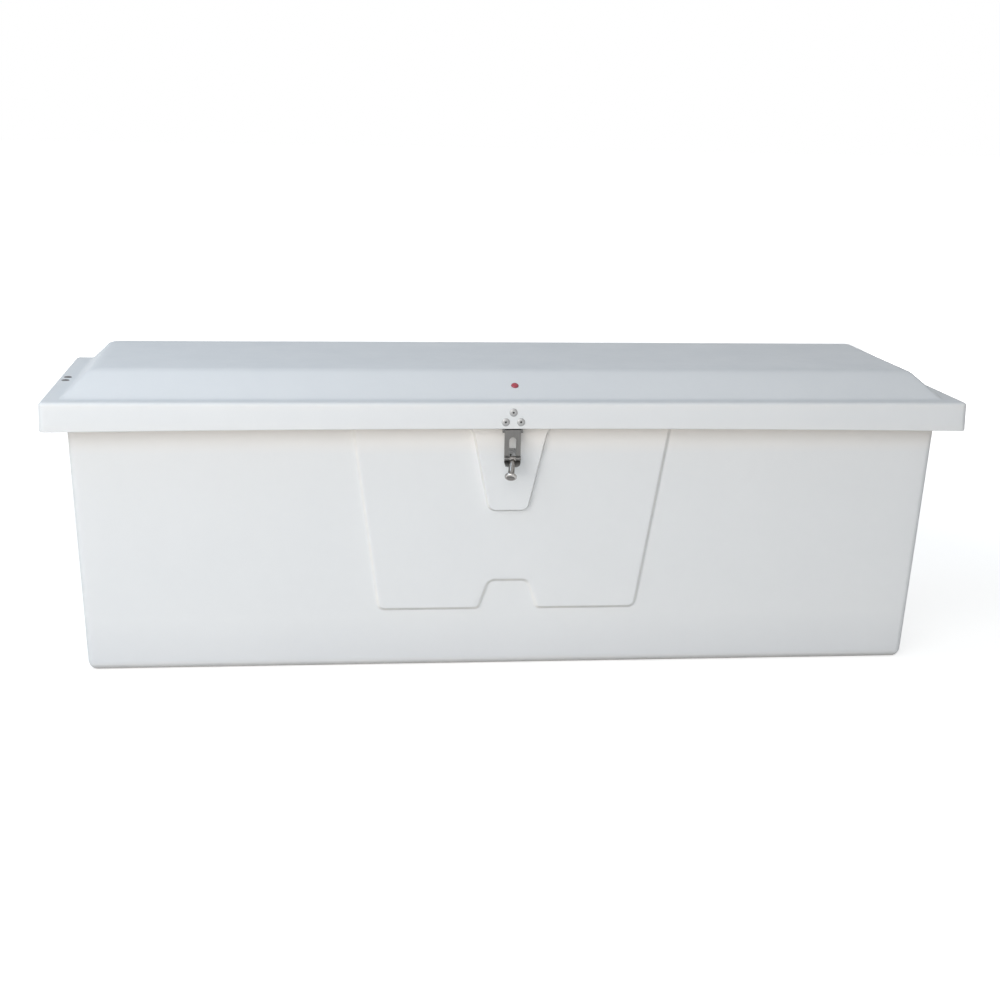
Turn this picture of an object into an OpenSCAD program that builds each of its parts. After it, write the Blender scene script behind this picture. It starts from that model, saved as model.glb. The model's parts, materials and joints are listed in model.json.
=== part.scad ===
// Dock box: moulded tub and lid, rear hinge, two lid struts and a hasp with a pull.
// The origin is the centre of the tub's base. The front faces -Y.

/* [Tub] */
// Inset of the base from each end of the lid
base_end_inset = 66; // [60:1:84]
// Inset of the base from the front and the rear of the lid
base_side_inset = 102; // [84:1:112]
// Height of the rim above the base
rim_h = 554; // [480:1:620]
// Outward lean of each end wall over the rim height
end_lean = 23; // [10:1:40]
// Outward lean of the front and rear walls over the rim height
side_lean = 52; // [30:1:70]
// Laminate thickness of the tub
tub_t = 5; // [4:0.5:7]
// Radius of the tub's upright corners
tub_corner_r = 14; // [8:1:30]
// Radius of the tub's bottom edge
tub_edge_r = 20; // [12:1:22]
// Depth of the rim's down-turned lip, flange included
lip_h = 40; // [34:1:46]
// Radius of the rim's upright corners
lip_corner_r = 16; // [10:1:24]

/* [Front panel] */
// How far the panel stands out of the front wall
panel_raise = 8; // [4:0.5:10]
// Width of the panel at its foot
panel_w = 534; // [450:2:640]
// Sideways flare of each panel edge, per millimetre of height
panel_flare = 0.14; // [0:0.005:0.18]
// Height of the panel's foot above the base
panel_foot = 123; // [90:1:180]
// Radius of the panel's lower corners
panel_corner_r = 18; // [12:1:30]
// Width of the notch in the panel's foot
notch_w = 115; // [70:1:140]
// Height of that notch
notch_h = 61; // [30:1:80]
// Narrowing of the notch towards its top, each side
notch_taper = 20; // [5:1:30]
// Width of the band the edges of the panel and boss slope across; the plates end in its middle
panel_draft = 7; // [3:0.5:8]

/* [Hasp boss] */
// How far the boss stands out of the panel
boss_raise = 14; // [8:0.5:16]
// Width of the boss at its foot
boss_w = 84; // [64:1:110]
// Sideways flare of each boss edge, per millimetre of height
boss_flare = 0.21; // [0.05:0.01:0.25]
// Height of the boss's foot above the base
boss_foot = 336; // [300:1:380]
// Radius of the boss's lower corners
boss_corner_r = 16; // [8:1:20]

/* [Lid] */
// Length of the lid
lid_l = 1830; // [1500:1:2100]
// Depth of the lid
lid_d = 610; // [540:1:700]
// Height of the skirt
skirt_h = 58; // [54:1:64]
// Rise of the front skirt's lower edge at mid length
skirt_arch = 6; // [2:0.5:10]
// Laminate thickness of the lid
lid_t = 4.5; // [3.5:0.5:6]
// Radius of the lid's upright corners
lid_corner_r = 12; // [9:1:20]
// Radius of the skirt's upper edge
lid_edge_r = 7; // [2:0.5:7]
// Width of the ledge at the two ends
ledge_end = 38; // [34:1:46]
// Width of the ledge along the front and the rear
ledge_side = 36; // [30:1:46]
// Height of the dome above the ledge
dome_h = 50; // [30:1:70]
// Run of the dome's front slope
dome_front_run = 78; // [50:1:110]
// Run of the dome's rear slope
dome_rear_run = 55; // [40:1:90]
// Run of the dome's end slopes
dome_end_run = 50; // [40:1:90]
// Radius of the dome's sloped corners
dome_corner_r = 10; // [6:1:30]
// Radius of the dome's upper edge
dome_edge_r = 14; // [6:1:18]

/* [Seal] */
// Gap between the rim flange and the lid's ledge
seal_gap = 9.5; // [9:0.1:12]
// Width of the foam seal
seal_w = 18; // [10:1:20]
// Free space over the seal
seal_air = 0.3; // [0.1:0.1:0.6]

/* [Gaps around the rim] */
// Gap between the front skirt and the rim's lip
front_gap = 15; // [14:0.5:18]
// Gap between the end skirts and the rim's lip
end_gap = 10; // [8:0.5:14]

/* [Rear hinge] */
// Distance from each end of the lid to the hinge
hinge_end = 75; // [60:1:160]
// Longest that one knuckle may be
knuckle_limit = 60; // [40:5:80]
// Radius of the knuckles
knuckle_r = 5; // [4.5:0.1:5.5]
// Radius of the hinge pin
hinge_pin_r = 2.45; // [2:0.05:2.5]
// Thickness of the hinge leaves
leaf_t = 2; // [1.5:0.1:2]
// Height of the hinge leaves above the hinge axis
leaf_h = 40; // [36:1:44]
// Clearance between the knuckles and the skirt's lower edge
knuckle_air = 1; // [0.6:0.1:2]
// Spacing of the hinge rivets
hinge_rivet_pitch = 120; // [100:10:160]

/* [Rivets] */
// Radius of a rivet's head
rivet_head_r = 8; // [6:0.5:9]
// Height of a rivet's head
rivet_head_h = 1.8; // [1.2:0.1:2]
// Radius of a rivet's shank
rivet_r = 2.4; // [2:0.1:3]
// Radius of a rivet's tail
rivet_tail_r = 3.8; // [3.2:0.1:4]
// Height of a rivet's tail
rivet_tail_h = 4; // [3:0.1:4.4]

/* [Hasp] */
// Sideways place of the hasp
hasp_x = -6; // [-20:1:20]
// Width of the hasp leaf
hasp_leaf_w = 50; // [46:1:56]
// Length of the hasp's hinge barrel
hasp_barrel_l = 40; // [38:1:46]
// Thickness of the hasp leaf
hasp_leaf_t = 2.5; // [2:0.1:3]
// Radius of the hasp's knuckles
hasp_knuckle_r = 4; // [3.8:0.1:4.2]
// Radius of the hasp's hinge pin
hasp_pin_r = 2; // [1.6:0.1:2.2]
// Sideways spacing of the two lower hasp rivets
hasp_rivet_w = 30; // [26:1:32]
// Height of the lower hasp rivets above the hasp's hinge pin
hasp_rivet_low = 18.6; // [17:0.2:20]
// Height of the upper hasp rivet above the lower ones
hasp_rivet_rise = 19; // [17:0.5:20]
// Width of the strap
strap_w = 32; // [30:0.5:36]
// Thickness of the strap
strap_t = 3; // [2:0.1:3.2]
// Width of the strap's slot
slot_w = 13.8; // [13.4:0.1:15]
// Distance from the hinge pin down to the top of the slot
slot_top = 12.6; // [10:0.2:16]
// Distance from the hinge pin down to the pull's pivot
pivot_drop = 54.4; // [50:0.2:60]
// Length of the strap's turned-out tab
tab_l = 14; // [8:0.5:16]
// Clearance between hinged faces
hinge_air = 0.5; // [0.3:0.05:0.8]
// Metal left outside a rivet's head
rivet_margin = 3; // [2:0.5:5]

/* [Pull] */
// Outward tilt of the hanging pull
pull_tilt = 42; // [35:1:48]
// Sideways lean of the pull, negative to the left
pull_lean = -9; // [-10:1:10]
// Radius of the pull's eye
eye_r = 5.9; // [5:0.1:6]
// Radius of the pull's shank at the eye
shank_r = 5.7; // [5:0.05:5.8]
// Radius of the pull's shank at the knob
shank_foot_r = 6.6; // [5.8:0.1:7]
// Distance from the pivot to the underside of the knob
shank_l = 38; // [30:1:50]
// Radius of the knob
knob_r = 12; // [9:0.5:14]
// Thickness of the knob
knob_h = 7; // [5:0.5:10]
// Radius of the pull's pivot pin
pivot_r = 2.5; // [2:0.1:3]
// Radius of the ears that hold the pivot pin
ear_r = 4; // [3.8:0.1:5]
// Gap between the pull's shank and the tab it rests on
pull_air = 0.25; // [0.2:0.05:0.4]

/* [Keeper] */
// Width of the keeper's arm
arm_w = 10; // [6:0.5:11]
// Thickness of the keeper's arm
arm_t = 4; // [3:0.5:5]
// Distance from the hasp's hinge pin down to the top of the arm
arm_drop = 40; // [36:0.5:42]
// Gap between the arm's nose and the back of the hanging strap
nose_air = 1; // [0.6:0.1:2]
// Width of the keeper's plate
keeper_w = 20; // [17:1:40]
// Thickness of the keeper's plate and of its backing plate
keeper_t = 3; // [2:0.5:4]
// Space around the heads of the keeper's rivets
keeper_rivet_air = 0.6; // [0.4:0.1:3]

/* [Lid struts] */
// Place of the upper ball studs along the depth of the box
strut_y = -14; // [-60:1:40]
// Height of the upper ball studs below the ledge
strut_drop = 33; // [28:1:40]
// Angle at the hinge between the two ball studs with the lid closed
strut_angle = 70; // [64:1:74]
// Travel of the lid, which sets the strut's stroke
lid_travel = 75; // [60:1:80]
// Radius of a strut's tube
tube_r = 9.5; // [9:0.1:11]
// Wall of the tube
tube_t = 1.5; // [1:0.1:1.8]
// Radius of a strut's rod
rod_r = 4; // [3:0.1:5]
// Radius of the ball studs
ball_r = 5; // [4:0.1:5]
// Length of a ball stud, from its plate to the ball's centre
stud_l = 20; // [18:0.5:24]
// Radius of a ball stud's neck
stud_r = 3; // [2.5:0.1:3]
// Outer radius of the ball sockets
socket_r = 9; // [8:0.1:10]
// Length of a ball socket along the strut
socket_l = 24; // [22:1:30]
// Clearance of the ball, piston and rod
strut_air = 0.25; // [0.2:0.01:0.3]
// Thickness of the strut brackets
bracket_t = 2.5; // [2:0.1:3]
// Length of the strut brackets along their rivets
bracket_l = 64; // [58:1:76]
// Spacing of the rivets in a strut bracket
bracket_rivet_pitch = 41; // [36:1:46]

/* [Red button] */
// Sideways place of the button
button_x = 4; // [-40:1:40]
// Place of the button up the front slope, from the ledge
button_rise = 22.5; // [14:0.5:34]
// Radius of the button
button_r = 7.6; // [5:0.1:10]
// Height of the button
button_h = 3; // [2:0.1:5]

/* [Hidden] */
$fn = 48;
// Points on each quarter of a moulded corner, less one
arc_steps = 6;
// Steps of the skirt's arched lower edge
arch_steps = 24;
// Rings on each rounded moulded edge, less one
edge_steps = 3;
// Overlap that lets cuts run clear through a face
over = 2;
// Radial play of a pin in its own bore
pin_air = 0.05;
// Least radius of an inside corner and of an inside edge
least_corner_r = 3;
least_edge_r = 1;

// Rivet: height of the head's rim, radius of its flat, and the mandrel's bore
rivet_rim_h = 0.5 * rivet_head_h;
rivet_flat_r = 0.7 * rivet_head_r;
rivet_bore_r = 0.55 * rivet_r;
rivet_bore_low = 0.4 * rivet_head_h;

// Tub
base_l = lid_l - 2 * base_end_inset;
base_d = lid_d - 2 * base_side_inset;
end_slope = end_lean / rim_h;
side_slope = side_lean / rim_h;
end_tilt = atan(end_slope);
side_tilt = atan(side_slope);
function tub_x(z) = base_l / 2 + end_slope * z;
function tub_y(z) = base_d / 2 + side_slope * z;
flange_low = rim_h - tub_t;
side_angle = atan(side_slope);
// Laminate thickness square to the leaning walls
end_grip = tub_t * cos(end_tilt);
front_grip = tub_t * cos(side_tilt);
// Share of the laminate by which the hollows behind the relief are narrower
hollow_share = 0.6;

// Lid levels and inside faces
ledge_low = rim_h + seal_gap;
ledge_z = ledge_low + lid_t;
skirt_z = ledge_z - skirt_h;
dome_z = ledge_z + dome_h;
skirt_in_x = lid_l / 2 - lid_t;
skirt_in_y = lid_d / 2 - lid_t;
// Share of the laminate by which the dome's foot is narrower inside
dome_foot_share = 0.4;
// Rounding of the dome's upper edge: its height, then the shoulder's run and drop
dome_soft = 0.4 * dome_edge_r;
shoulder_run = 0.3 * dome_soft;
shoulder_drop = 0.25 * dome_soft;

// Outer faces of the rim's lip
lip_x = skirt_in_x - end_gap;
lip_front = skirt_in_y - front_gap;
lip_rear = skirt_in_y - 2 * knuckle_r;
seal_corner_r = 4;
seal_cut = 4 * seal_w;

// Rear hinge axis
axis_y = skirt_in_y - knuckle_r;
axis_z = skirt_z - knuckle_air - knuckle_r;
hinge_l = lid_l - 2 * hinge_end;
knuckle_count = 2 * ceil(hinge_l / knuckle_limit / 2);
knuckle_l = hinge_l / knuckle_count;
hinge_rivet_count = floor((hinge_l - hinge_rivet_pitch / 2) / hinge_rivet_pitch);
// Share of a leaf's height below its rivets
leaf_rivet_share = 0.65;
hinge_rivet_z = axis_z + leaf_rivet_share * leaf_h;

// Hasp hinge axis, the strap's faces and the pull's pivot
hasp_y = -(skirt_in_y - hasp_knuckle_r);
hasp_z = skirt_z + skirt_arch - knuckle_air - hasp_knuckle_r;
strap_front = hasp_y - hasp_knuckle_r;
strap_back = strap_front + strap_t;
pivot_y = strap_front - ear_r;
pivot_z = hasp_z - pivot_drop;
tab_corner_r = 0.7 * tab_l;
tab_gap = shank_r + (shank_foot_r - shank_r) * tab_l / shank_l + pull_air;
tab_y = pivot_y + tab_gap * cos(pull_tilt);
tab_z = pivot_z - tab_gap * sin(pull_tilt);
strap_low = tab_z - strap_t * sin(pull_tilt);
hasp_rivet_z = hasp_z + hasp_rivet_low;
rivet_land = rivet_head_r + rivet_margin;
hasp_leaf_top = hasp_rivet_z + hasp_rivet_rise + rivet_land;

// Keeper
boss_out = panel_raise + boss_raise;
function boss_y(z) = -(tub_y(z) + boss_out);
function inner_boss_y(z) = boss_y(z) + tub_t;
arm_top = hasp_z - arm_drop;
arm_nose = strap_back + nose_air;
arm_low = arm_top - arm_t;
keeper_rivet_step = rivet_head_r + keeper_rivet_air;
keeper_rivet_z = [arm_low - keeper_rivet_step, arm_low - 2 * keeper_rivet_step - rivet_head_r];
keeper_low = keeper_rivet_z[1] - keeper_rivet_step;

// Lid struts: equal arms from the hinge axis make each strut turn half as far as the lid
ball_b = [strut_y, ledge_z - strut_drop];
arm_b = [axis_y - ball_b[0], ball_b[1] - axis_z];
strut_arm = norm(arm_b);
arm_b_angle = atan2(arm_b[1], arm_b[0]);
arm_a_angle = arm_b_angle - strut_angle;
ball_a = [axis_y - strut_arm * cos(arm_a_angle), axis_z + strut_arm * sin(arm_a_angle)];
strut_l = 2 * strut_arm * sin(strut_angle / 2);
strut_open_l = 2 * strut_arm * sin((strut_angle + lid_travel) / 2);
stroke = strut_open_l - strut_l;
strut_turn = atan2(ball_a[0] - ball_b[0], ball_b[1] - ball_a[1]);
function wall_in_x(z) = tub_x(z) - tub_t;
strut_x = wall_in_x(ball_a[1]) - bracket_t - stud_l;
lid_leg_x = strut_x + stud_l;
// Lengths inside a strut: piston, rod guide, threaded ends, closed head, spare stroke at each end
piston_h = 10;
guide_h = 15;
end_thread = 8;
tube_head_h = 6;
spare_high = 5;
spare_low = 6;
tube_in_r = tube_r - tube_t;
tube_top = strut_l - socket_l;
rod_top = tube_top - tube_head_h - spare_high;
tube_low = rod_top - piston_h - stroke - guide_h - spare_low;
lid_rivet_x = lid_l / 2 - ledge_end / 2;
// Ball stud's collar, and the socket's floor, lip and neck round the ball
collar_l = 0.25 * stud_l;
collar_r = 1.8 * stud_r;
socket_floor = 2;
socket_lip = 0.6 * ball_r;
socket_neck_r = ball_r + 1.4;
// Gap between a lid bracket and the end skirt, clear of the skirt's inside rounding
bracket_air = lid_edge_r / 2 + 1;

// Red button
dome_front_y = -(lid_d / 2 - ledge_side);
slope_angle = atan(dome_h / dome_front_run);
button_y = dome_front_y + button_rise / tan(slope_angle);
button_z = ledge_z + button_rise;
button_flat_r = 0.62 * button_r;
button_stem_r = 0.5 * button_r;
button_stem_l = 2 * lid_t;

gelcoat = "whitesmoke";
steel = "silver";
black = "dimgray";

// Shared shapes

// Rounded rectangle of points at height z, anticlockwise from above
function ring(half_x, front, rear, r, z) = [
    for (quarter = [0 : 3], i = [0 : arc_steps])
        let (
            angle = 90 * (quarter + i / arc_steps),
            corner_x = (quarter == 0 || quarter == 3) ? half_x - r : r - half_x,
            corner_y = quarter < 2 ? rear - r : front + r
        )
        [corner_x + r * cos(angle), corner_y + r * sin(angle), z]
];

// Closed solid through rings that all have the same number of points
module loft(rings) {
    count = len(rings[0]);
    last = len(rings) - 1;
    points = [for (one = rings, point = one) point];
    low_cap = [for (i = [0 : count - 1]) i];
    high_cap = [for (i = [0 : count - 1]) last * count + count - 1 - i];
    sides = [
        for (k = [0 : last - 1], i = [0 : count - 1])
            let (a = k * count + i, b = k * count + (i + 1) % count)
            each [[a, a + count, b + count], [a, b + count, b]]
    ];
    polyhedron(points, concat([low_cap, high_cap], sides));
}

// Rounded rectangular slab with true round corners
module slab(half_x, front, rear, r, low, high) {
    translate([0, 0, low])
        linear_extrude(high - low)
            union() {
                translate([-half_x, front + r])
                    square([2 * half_x, rear - front - 2 * r]);
                translate([r - half_x, front])
                    square([2 * (half_x - r), rear - front]);
                for (x = [-1, 1], y = [front + r, rear - r])
                    translate([x * (half_x - r), y])
                        circle(r);
            }
}

// Solid profile drawn in depth and height, spread evenly about the middle of the box
module across(width, x = 0) {
    translate([x - width / 2, 0, 0])
        rotate([90, 0, 90])
            linear_extrude(width)
                children();
}

// Mirrors what is made for the right end over to the left
module on_side(side) {
    if (side < 0)
        mirror([1, 0, 0])
            children();
    else
        children();
}

// Blind rivet along Z: head above 0, shank through the grip, tail below it
module rivet(grip) {
    difference() {
        union() {
            cylinder(r = rivet_head_r, h = rivet_rim_h);
            translate([0, 0, rivet_rim_h])
                cylinder(r1 = rivet_head_r, r2 = rivet_flat_r, h = rivet_head_h - rivet_rim_h);
            translate([0, 0, -grip - rivet_tail_h])
                cylinder(r = rivet_r, h = grip + rivet_tail_h);
            translate([0, 0, -grip - rivet_tail_h])
                cylinder(r = rivet_tail_r, h = rivet_tail_h);
        }
        translate([0, 0, rivet_bore_low])
            cylinder(r = rivet_bore_r, h = rivet_head_h);
    }
}

// Hole for a rivet, along Z through the grip
module rivet_hole(grip) {
    translate([0, 0, -grip - over])
        cylinder(r = rivet_r + pin_air, h = grip + 2 * over);
}

// Places for the rivets: each turns local +Z to point out of the surface
module at_lid_hinge_rivets() {
    for (i = [0 : hinge_rivet_count - 1])
        translate([(i - (hinge_rivet_count - 1) / 2) * hinge_rivet_pitch, lid_d / 2, hinge_rivet_z])
            rotate([-90, 0, 0])
                children();
}

module at_body_hinge_rivets() {
    for (i = [0 : hinge_rivet_count - 2])
        translate([(i - (hinge_rivet_count - 2) / 2) * hinge_rivet_pitch, lip_rear + leaf_t, hinge_rivet_z])
            rotate([-90, 0, 0])
                children();
}

module at_hasp_rivets() {
    for (p = [[-hasp_rivet_w / 2, 0], [hasp_rivet_w / 2, 0], [0, hasp_rivet_rise]])
        translate([hasp_x + p[0], -lid_d / 2, hasp_rivet_z + p[1]])
            rotate([90, 0, 0])
                children();
}

module at_keeper_rivets() {
    for (z = keeper_rivet_z)
        translate([hasp_x, boss_y(z), z])
            rotate([90 + side_tilt, 0, 0])
                translate([0, 0, keeper_t])
                    children();
}

module at_lid_bracket_rivets() {
    for (side = [-1, 1], y = [-0.5, 0.5])
        translate([side * lid_rivet_x, strut_y + y * bracket_rivet_pitch, ledge_z])
            children();
}

module at_wall_bracket_rivets() {
    for (side = [-1, 1], y = [-0.5, 0.5])
        on_side(side)
            translate([tub_x(ball_a[1]), ball_a[0] + y * bracket_rivet_pitch, ball_a[1]])
                rotate([0, 90 + end_tilt, 0])
                    children();
}

// Tub

// Rings of the tub's outside, or of its inside when moved in by the laminate
function tub_rings(inset, low, high) = [
    for (i = [0 : edge_steps + 1])
        let (
            edge_r = max(tub_edge_r - inset, least_edge_r),
            angle = 90 * min(i, edge_steps) / edge_steps,
            back = inset + edge_r * (1 - sin(angle)),
            z = i > edge_steps ? high : low + edge_r * (1 - cos(angle)),
            r = max(tub_corner_r - back, least_corner_r)
        )
        ring(tub_x(z) - back, back - tub_y(z), tub_y(z) - back, r, z)
];

// Round corner of an outline drawn in width and height
function arc(x, z, r, from, to) = [
    for (i = [0 : arc_steps])
        let (angle = from + (to - from) * i / arc_steps)
        [x + r * cos(angle), z + r * sin(angle)]
];

// Plate on the front wall between two stand-offs, its outline drawn in width and height
module on_wall(outline, low, high) {
    translate([0, -tub_y(0), 0])
        rotate([90 + side_angle, 0, 0])
            translate([0, 0, low * cos(side_angle)])
                linear_extrude((high - low) * cos(side_angle))
                    polygon([for (p = outline) [p[0], p[1] / cos(side_angle)]]);
}

// Panel outline moved in by d, anticlockwise from the front
function panel_outline(d, top) =
    let (
        foot = panel_foot + d,
        half_foot = panel_w / 2 - d,
        half_top = half_foot + panel_flare * (top - panel_foot),
        r = panel_corner_r,
        notch_half = notch_w / 2 + d,
        notch_top = panel_foot + notch_h + d
    )
    concat(
        [[-half_top, top]],
        arc(r - half_foot, foot + r, r, 180, 270),
        [[-notch_half, foot], [notch_taper - notch_half, notch_top],
         [notch_half - notch_taper, notch_top], [notch_half, foot]],
        arc(half_foot - r, foot + r, r, 270, 360),
        [[half_top, top]]
    );

// Boss outline moved in by d, under the hasp, anticlockwise from the front
function boss_outline(d, top) =
    let (
        foot = boss_foot + d,
        half_foot = boss_w / 2 - d,
        half_top = half_foot + boss_flare * (top - boss_foot),
        r = boss_corner_r
    )
    concat(
        [[hasp_x - half_top, top]],
        arc(hasp_x + r - half_foot, foot + r, r, 180, 270),
        arc(hasp_x + half_foot - r, foot + r, r, 270, 360),
        [[hasp_x + half_top, top]]
    );

// Raised panel and boss, or the hollows behind them when set back by the laminate
module front_relief(back, top) {
    inset = hollow_share * back + panel_draft / 2;
    sunk = -back - over;
    on_wall(panel_outline(inset, top), sunk, panel_raise - back);
    on_wall(boss_outline(inset, top), sunk, boss_out - back);
}

module tub_shell() {
    color(gelcoat)
        difference() {
            union() {
                loft(tub_rings(0, 0, rim_h));
                front_relief(0, flange_low - tub_t);
                slab(lip_x, -lip_front, lip_rear, lip_corner_r, flange_low, rim_h);
                difference() {
                    slab(lip_x, -lip_front, lip_rear, lip_corner_r, rim_h - lip_h, flange_low);
                    slab(lip_x - tub_t, tub_t - lip_front, lip_rear - tub_t, lip_corner_r - tub_t,
                        rim_h - lip_h - over, flange_low + over);
                }
            }
            loft(tub_rings(tub_t, tub_t, rim_h + over));
            front_relief(tub_t, flange_low - 2 * tub_t);
            at_body_hinge_rivets()
                rivet_hole(leaf_t + tub_t);
            at_keeper_rivets()
                rivet_hole(keeper_t + front_grip);
            at_wall_bracket_rivets()
                rivet_hole(end_grip);
        }
}

// Foam strip along the flange, open where the lid's strut brackets come down
module rim_seal() {
    low = rim_h;
    high = ledge_low - seal_air;
    inset = (lip_x - tub_x(rim_h) + tub_t - seal_w) / 2;
    color(black)
        difference() {
            slab(lip_x - inset, inset - lip_front, lip_rear - inset, lip_corner_r, low, high);
            slab(lip_x - inset - seal_w, inset + seal_w - lip_front, lip_rear - inset - seal_w,
                seal_corner_r, low - over, high + over);
            for (side = [-1, 1])
                translate([side * lip_x - seal_cut / 2, strut_y - bracket_l / 2 - over, low - over])
                    cube([seal_cut, bracket_l + 2 * over, seal_gap + 2 * over]);
        }
}

// Rear hinge

// Knuckles of one leaf: every second one, from the first given
module knuckles(first) {
    for (i = [first : 2 : knuckle_count - 1])
        translate([i * knuckle_l - hinge_l / 2 + hinge_air / 2, axis_y, axis_z])
            rotate([0, 90, 0])
                cylinder(r = knuckle_r, h = knuckle_l - hinge_air);
}

// Gaps in a leaf beside the other leaf's knuckles
module knuckle_gaps(first) {
    for (i = [first : 2 : knuckle_count - 1])
        translate([i * knuckle_l - hinge_l / 2 - hinge_air / 2, axis_y - 2 * knuckle_r, axis_z - 2 * knuckle_r])
            cube([knuckle_l + hinge_air, 4 * knuckle_r, 3 * knuckle_r + hinge_air]);
}

module hinge_bore() {
    translate([-hinge_l, axis_y, axis_z])
        rotate([0, 90, 0])
            cylinder(r = hinge_pin_r + pin_air, h = 2 * hinge_l);
}

module hinge_leaf(low_y, first) {
    difference() {
        union() {
            difference() {
                translate([-hinge_l / 2, low_y, axis_z])
                    cube([hinge_l, leaf_t, leaf_h]);
                knuckle_gaps(1 - first);
            }
            knuckles(first);
        }
        hinge_bore();
        children();
    }
}

module hinge_body_leaf() {
    color(steel)
        hinge_leaf(lip_rear, 0)
            at_body_hinge_rivets()
                rivet_hole(leaf_t);
}

module hinge_lid_leaf() {
    color(steel)
        hinge_leaf(skirt_in_y - leaf_t, 1)
            at_lid_hinge_rivets()
                rivet_hole(lid_t + leaf_t);
}

module hinge_pin() {
    color(steel)
        translate([-hinge_l / 2, axis_y, axis_z])
            rotate([0, 90, 0])
                cylinder(r = hinge_pin_r, h = hinge_l);
}

module hinge_body_rivets() {
    color(steel)
        at_body_hinge_rivets()
            rivet(leaf_t + tub_t);
}

module hinge_lid_rivets() {
    color(steel)
        at_lid_hinge_rivets()
            rivet(lid_t + leaf_t);
}

// Keeper on the boss

module keeper() {
    face = keeper_t / cos(side_tilt);
    color(steel)
        difference() {
            union() {
                across(keeper_w, hasp_x)
                    polygon([[boss_y(keeper_low), keeper_low], [boss_y(arm_top), arm_top],
                        [boss_y(arm_top) - face, arm_top], [boss_y(keeper_low) - face, keeper_low]]);
                across(arm_w, hasp_x)
                    polygon([[boss_y(arm_low) - face / 2, arm_low], [boss_y(arm_top) - face / 2, arm_top],
                        [arm_nose + arm_t / 2, arm_top], [arm_nose, arm_top - arm_t / 2],
                        [arm_nose + arm_t / 2, arm_low]]);
            }
            at_keeper_rivets()
                rivet_hole(keeper_t);
        }
}

module keeper_backing() {
    face = keeper_t / cos(side_tilt);
    color(steel)
        difference() {
            across(keeper_w, hasp_x)
                polygon([[inner_boss_y(keeper_low), keeper_low], [inner_boss_y(arm_top), arm_top],
                    [inner_boss_y(arm_top) + face, arm_top], [inner_boss_y(keeper_low) + face, keeper_low]]);
            at_keeper_rivets()
                rivet_hole(2 * keeper_t + front_grip);
        }
}

module keeper_rivets() {
    color(steel)
        at_keeper_rivets()
            rivet(2 * keeper_t + front_grip);
}

// Lid

// Rings of the lid's outside, or of its inside when moved in by the laminate
function lid_rings(inset, low, skirt_top, edge_r) =
    let (
        x = lid_l / 2 - inset,
        y = lid_d / 2 - inset,
        r = lid_corner_r - inset,
        rise = dome_h,
        foot_inset = dome_foot_share * inset,
        foot_x = lid_l / 2 - ledge_end - foot_inset,
        foot_front = dome_front_y + foot_inset,
        foot_rear = lid_d / 2 - ledge_side - foot_inset,
        near = 1 - dome_soft / rise
    )
    concat(
        [ring(x, -y, y, r, low)],
        [for (i = [0 : edge_steps])
            let (angle = 90 * i / edge_steps, back = edge_r * (1 - cos(angle)))
            ring(x - back, back - y, y - back, r - back, skirt_top - edge_r * (1 - sin(angle)))],
        [ring(foot_x, foot_front, foot_rear, dome_corner_r, skirt_top),
         ring(foot_x - dome_end_run * near, foot_front + dome_front_run * near,
             foot_rear - dome_rear_run * near, dome_corner_r, skirt_top + rise * near),
         ring(foot_x - dome_end_run - shoulder_run, foot_front + dome_front_run + shoulder_run,
             foot_rear - dome_rear_run - shoulder_run, dome_corner_r, skirt_top + rise - shoulder_drop),
         ring(foot_x - dome_end_run - dome_edge_r, foot_front + dome_front_run + dome_edge_r,
             foot_rear - dome_rear_run - dome_edge_r, dome_corner_r, skirt_top + rise)]
    );

// Space under the front skirt's arched lower edge
module skirt_arch_cut() {
    half = lid_l / 2 - lid_corner_r;
    arch = [
        for (i = [0 : arch_steps])
            let (x = half * (1 - 2 * i / arch_steps))
            [x, skirt_z + skirt_arch * (1 - pow(x / half, 2))]
    ];
    translate([0, -skirt_in_y + over, 0])
        rotate([90, 0, 0])
            linear_extrude(lid_t + 2 * over)
                polygon(concat([[-half, skirt_z - over], [half, skirt_z - over]], arch));
}

module at_button() {
    translate([button_x, button_y, button_z])
        rotate([slope_angle, 0, 0])
            children();
}

module lid_shell() {
    color(gelcoat)
        difference() {
            loft(lid_rings(0, skirt_z, ledge_z, lid_edge_r));
            loft(lid_rings(lid_t, skirt_z - over, ledge_low, lid_edge_r / 2));
            skirt_arch_cut();
            at_lid_hinge_rivets()
                rivet_hole(lid_t);
            at_hasp_rivets()
                rivet_hole(lid_t);
            at_lid_bracket_rivets()
                rivet_hole(lid_t);
            at_button()
                translate([0, 0, -button_stem_l - over])
                    cylinder(r = button_stem_r + pin_air, h = 2 * (button_stem_l + over));
        }
}

module lid_button() {
    color("firebrick")
        at_button()
            union() {
                cylinder(r = button_r, h = button_h / 2);
                translate([0, 0, button_h / 2])
                    cylinder(r1 = button_r, r2 = button_flat_r, h = button_h / 2);
                translate([0, 0, -button_stem_l])
                    cylinder(r = button_stem_r, h = button_stem_l);
            }
}

// Hasp

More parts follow.
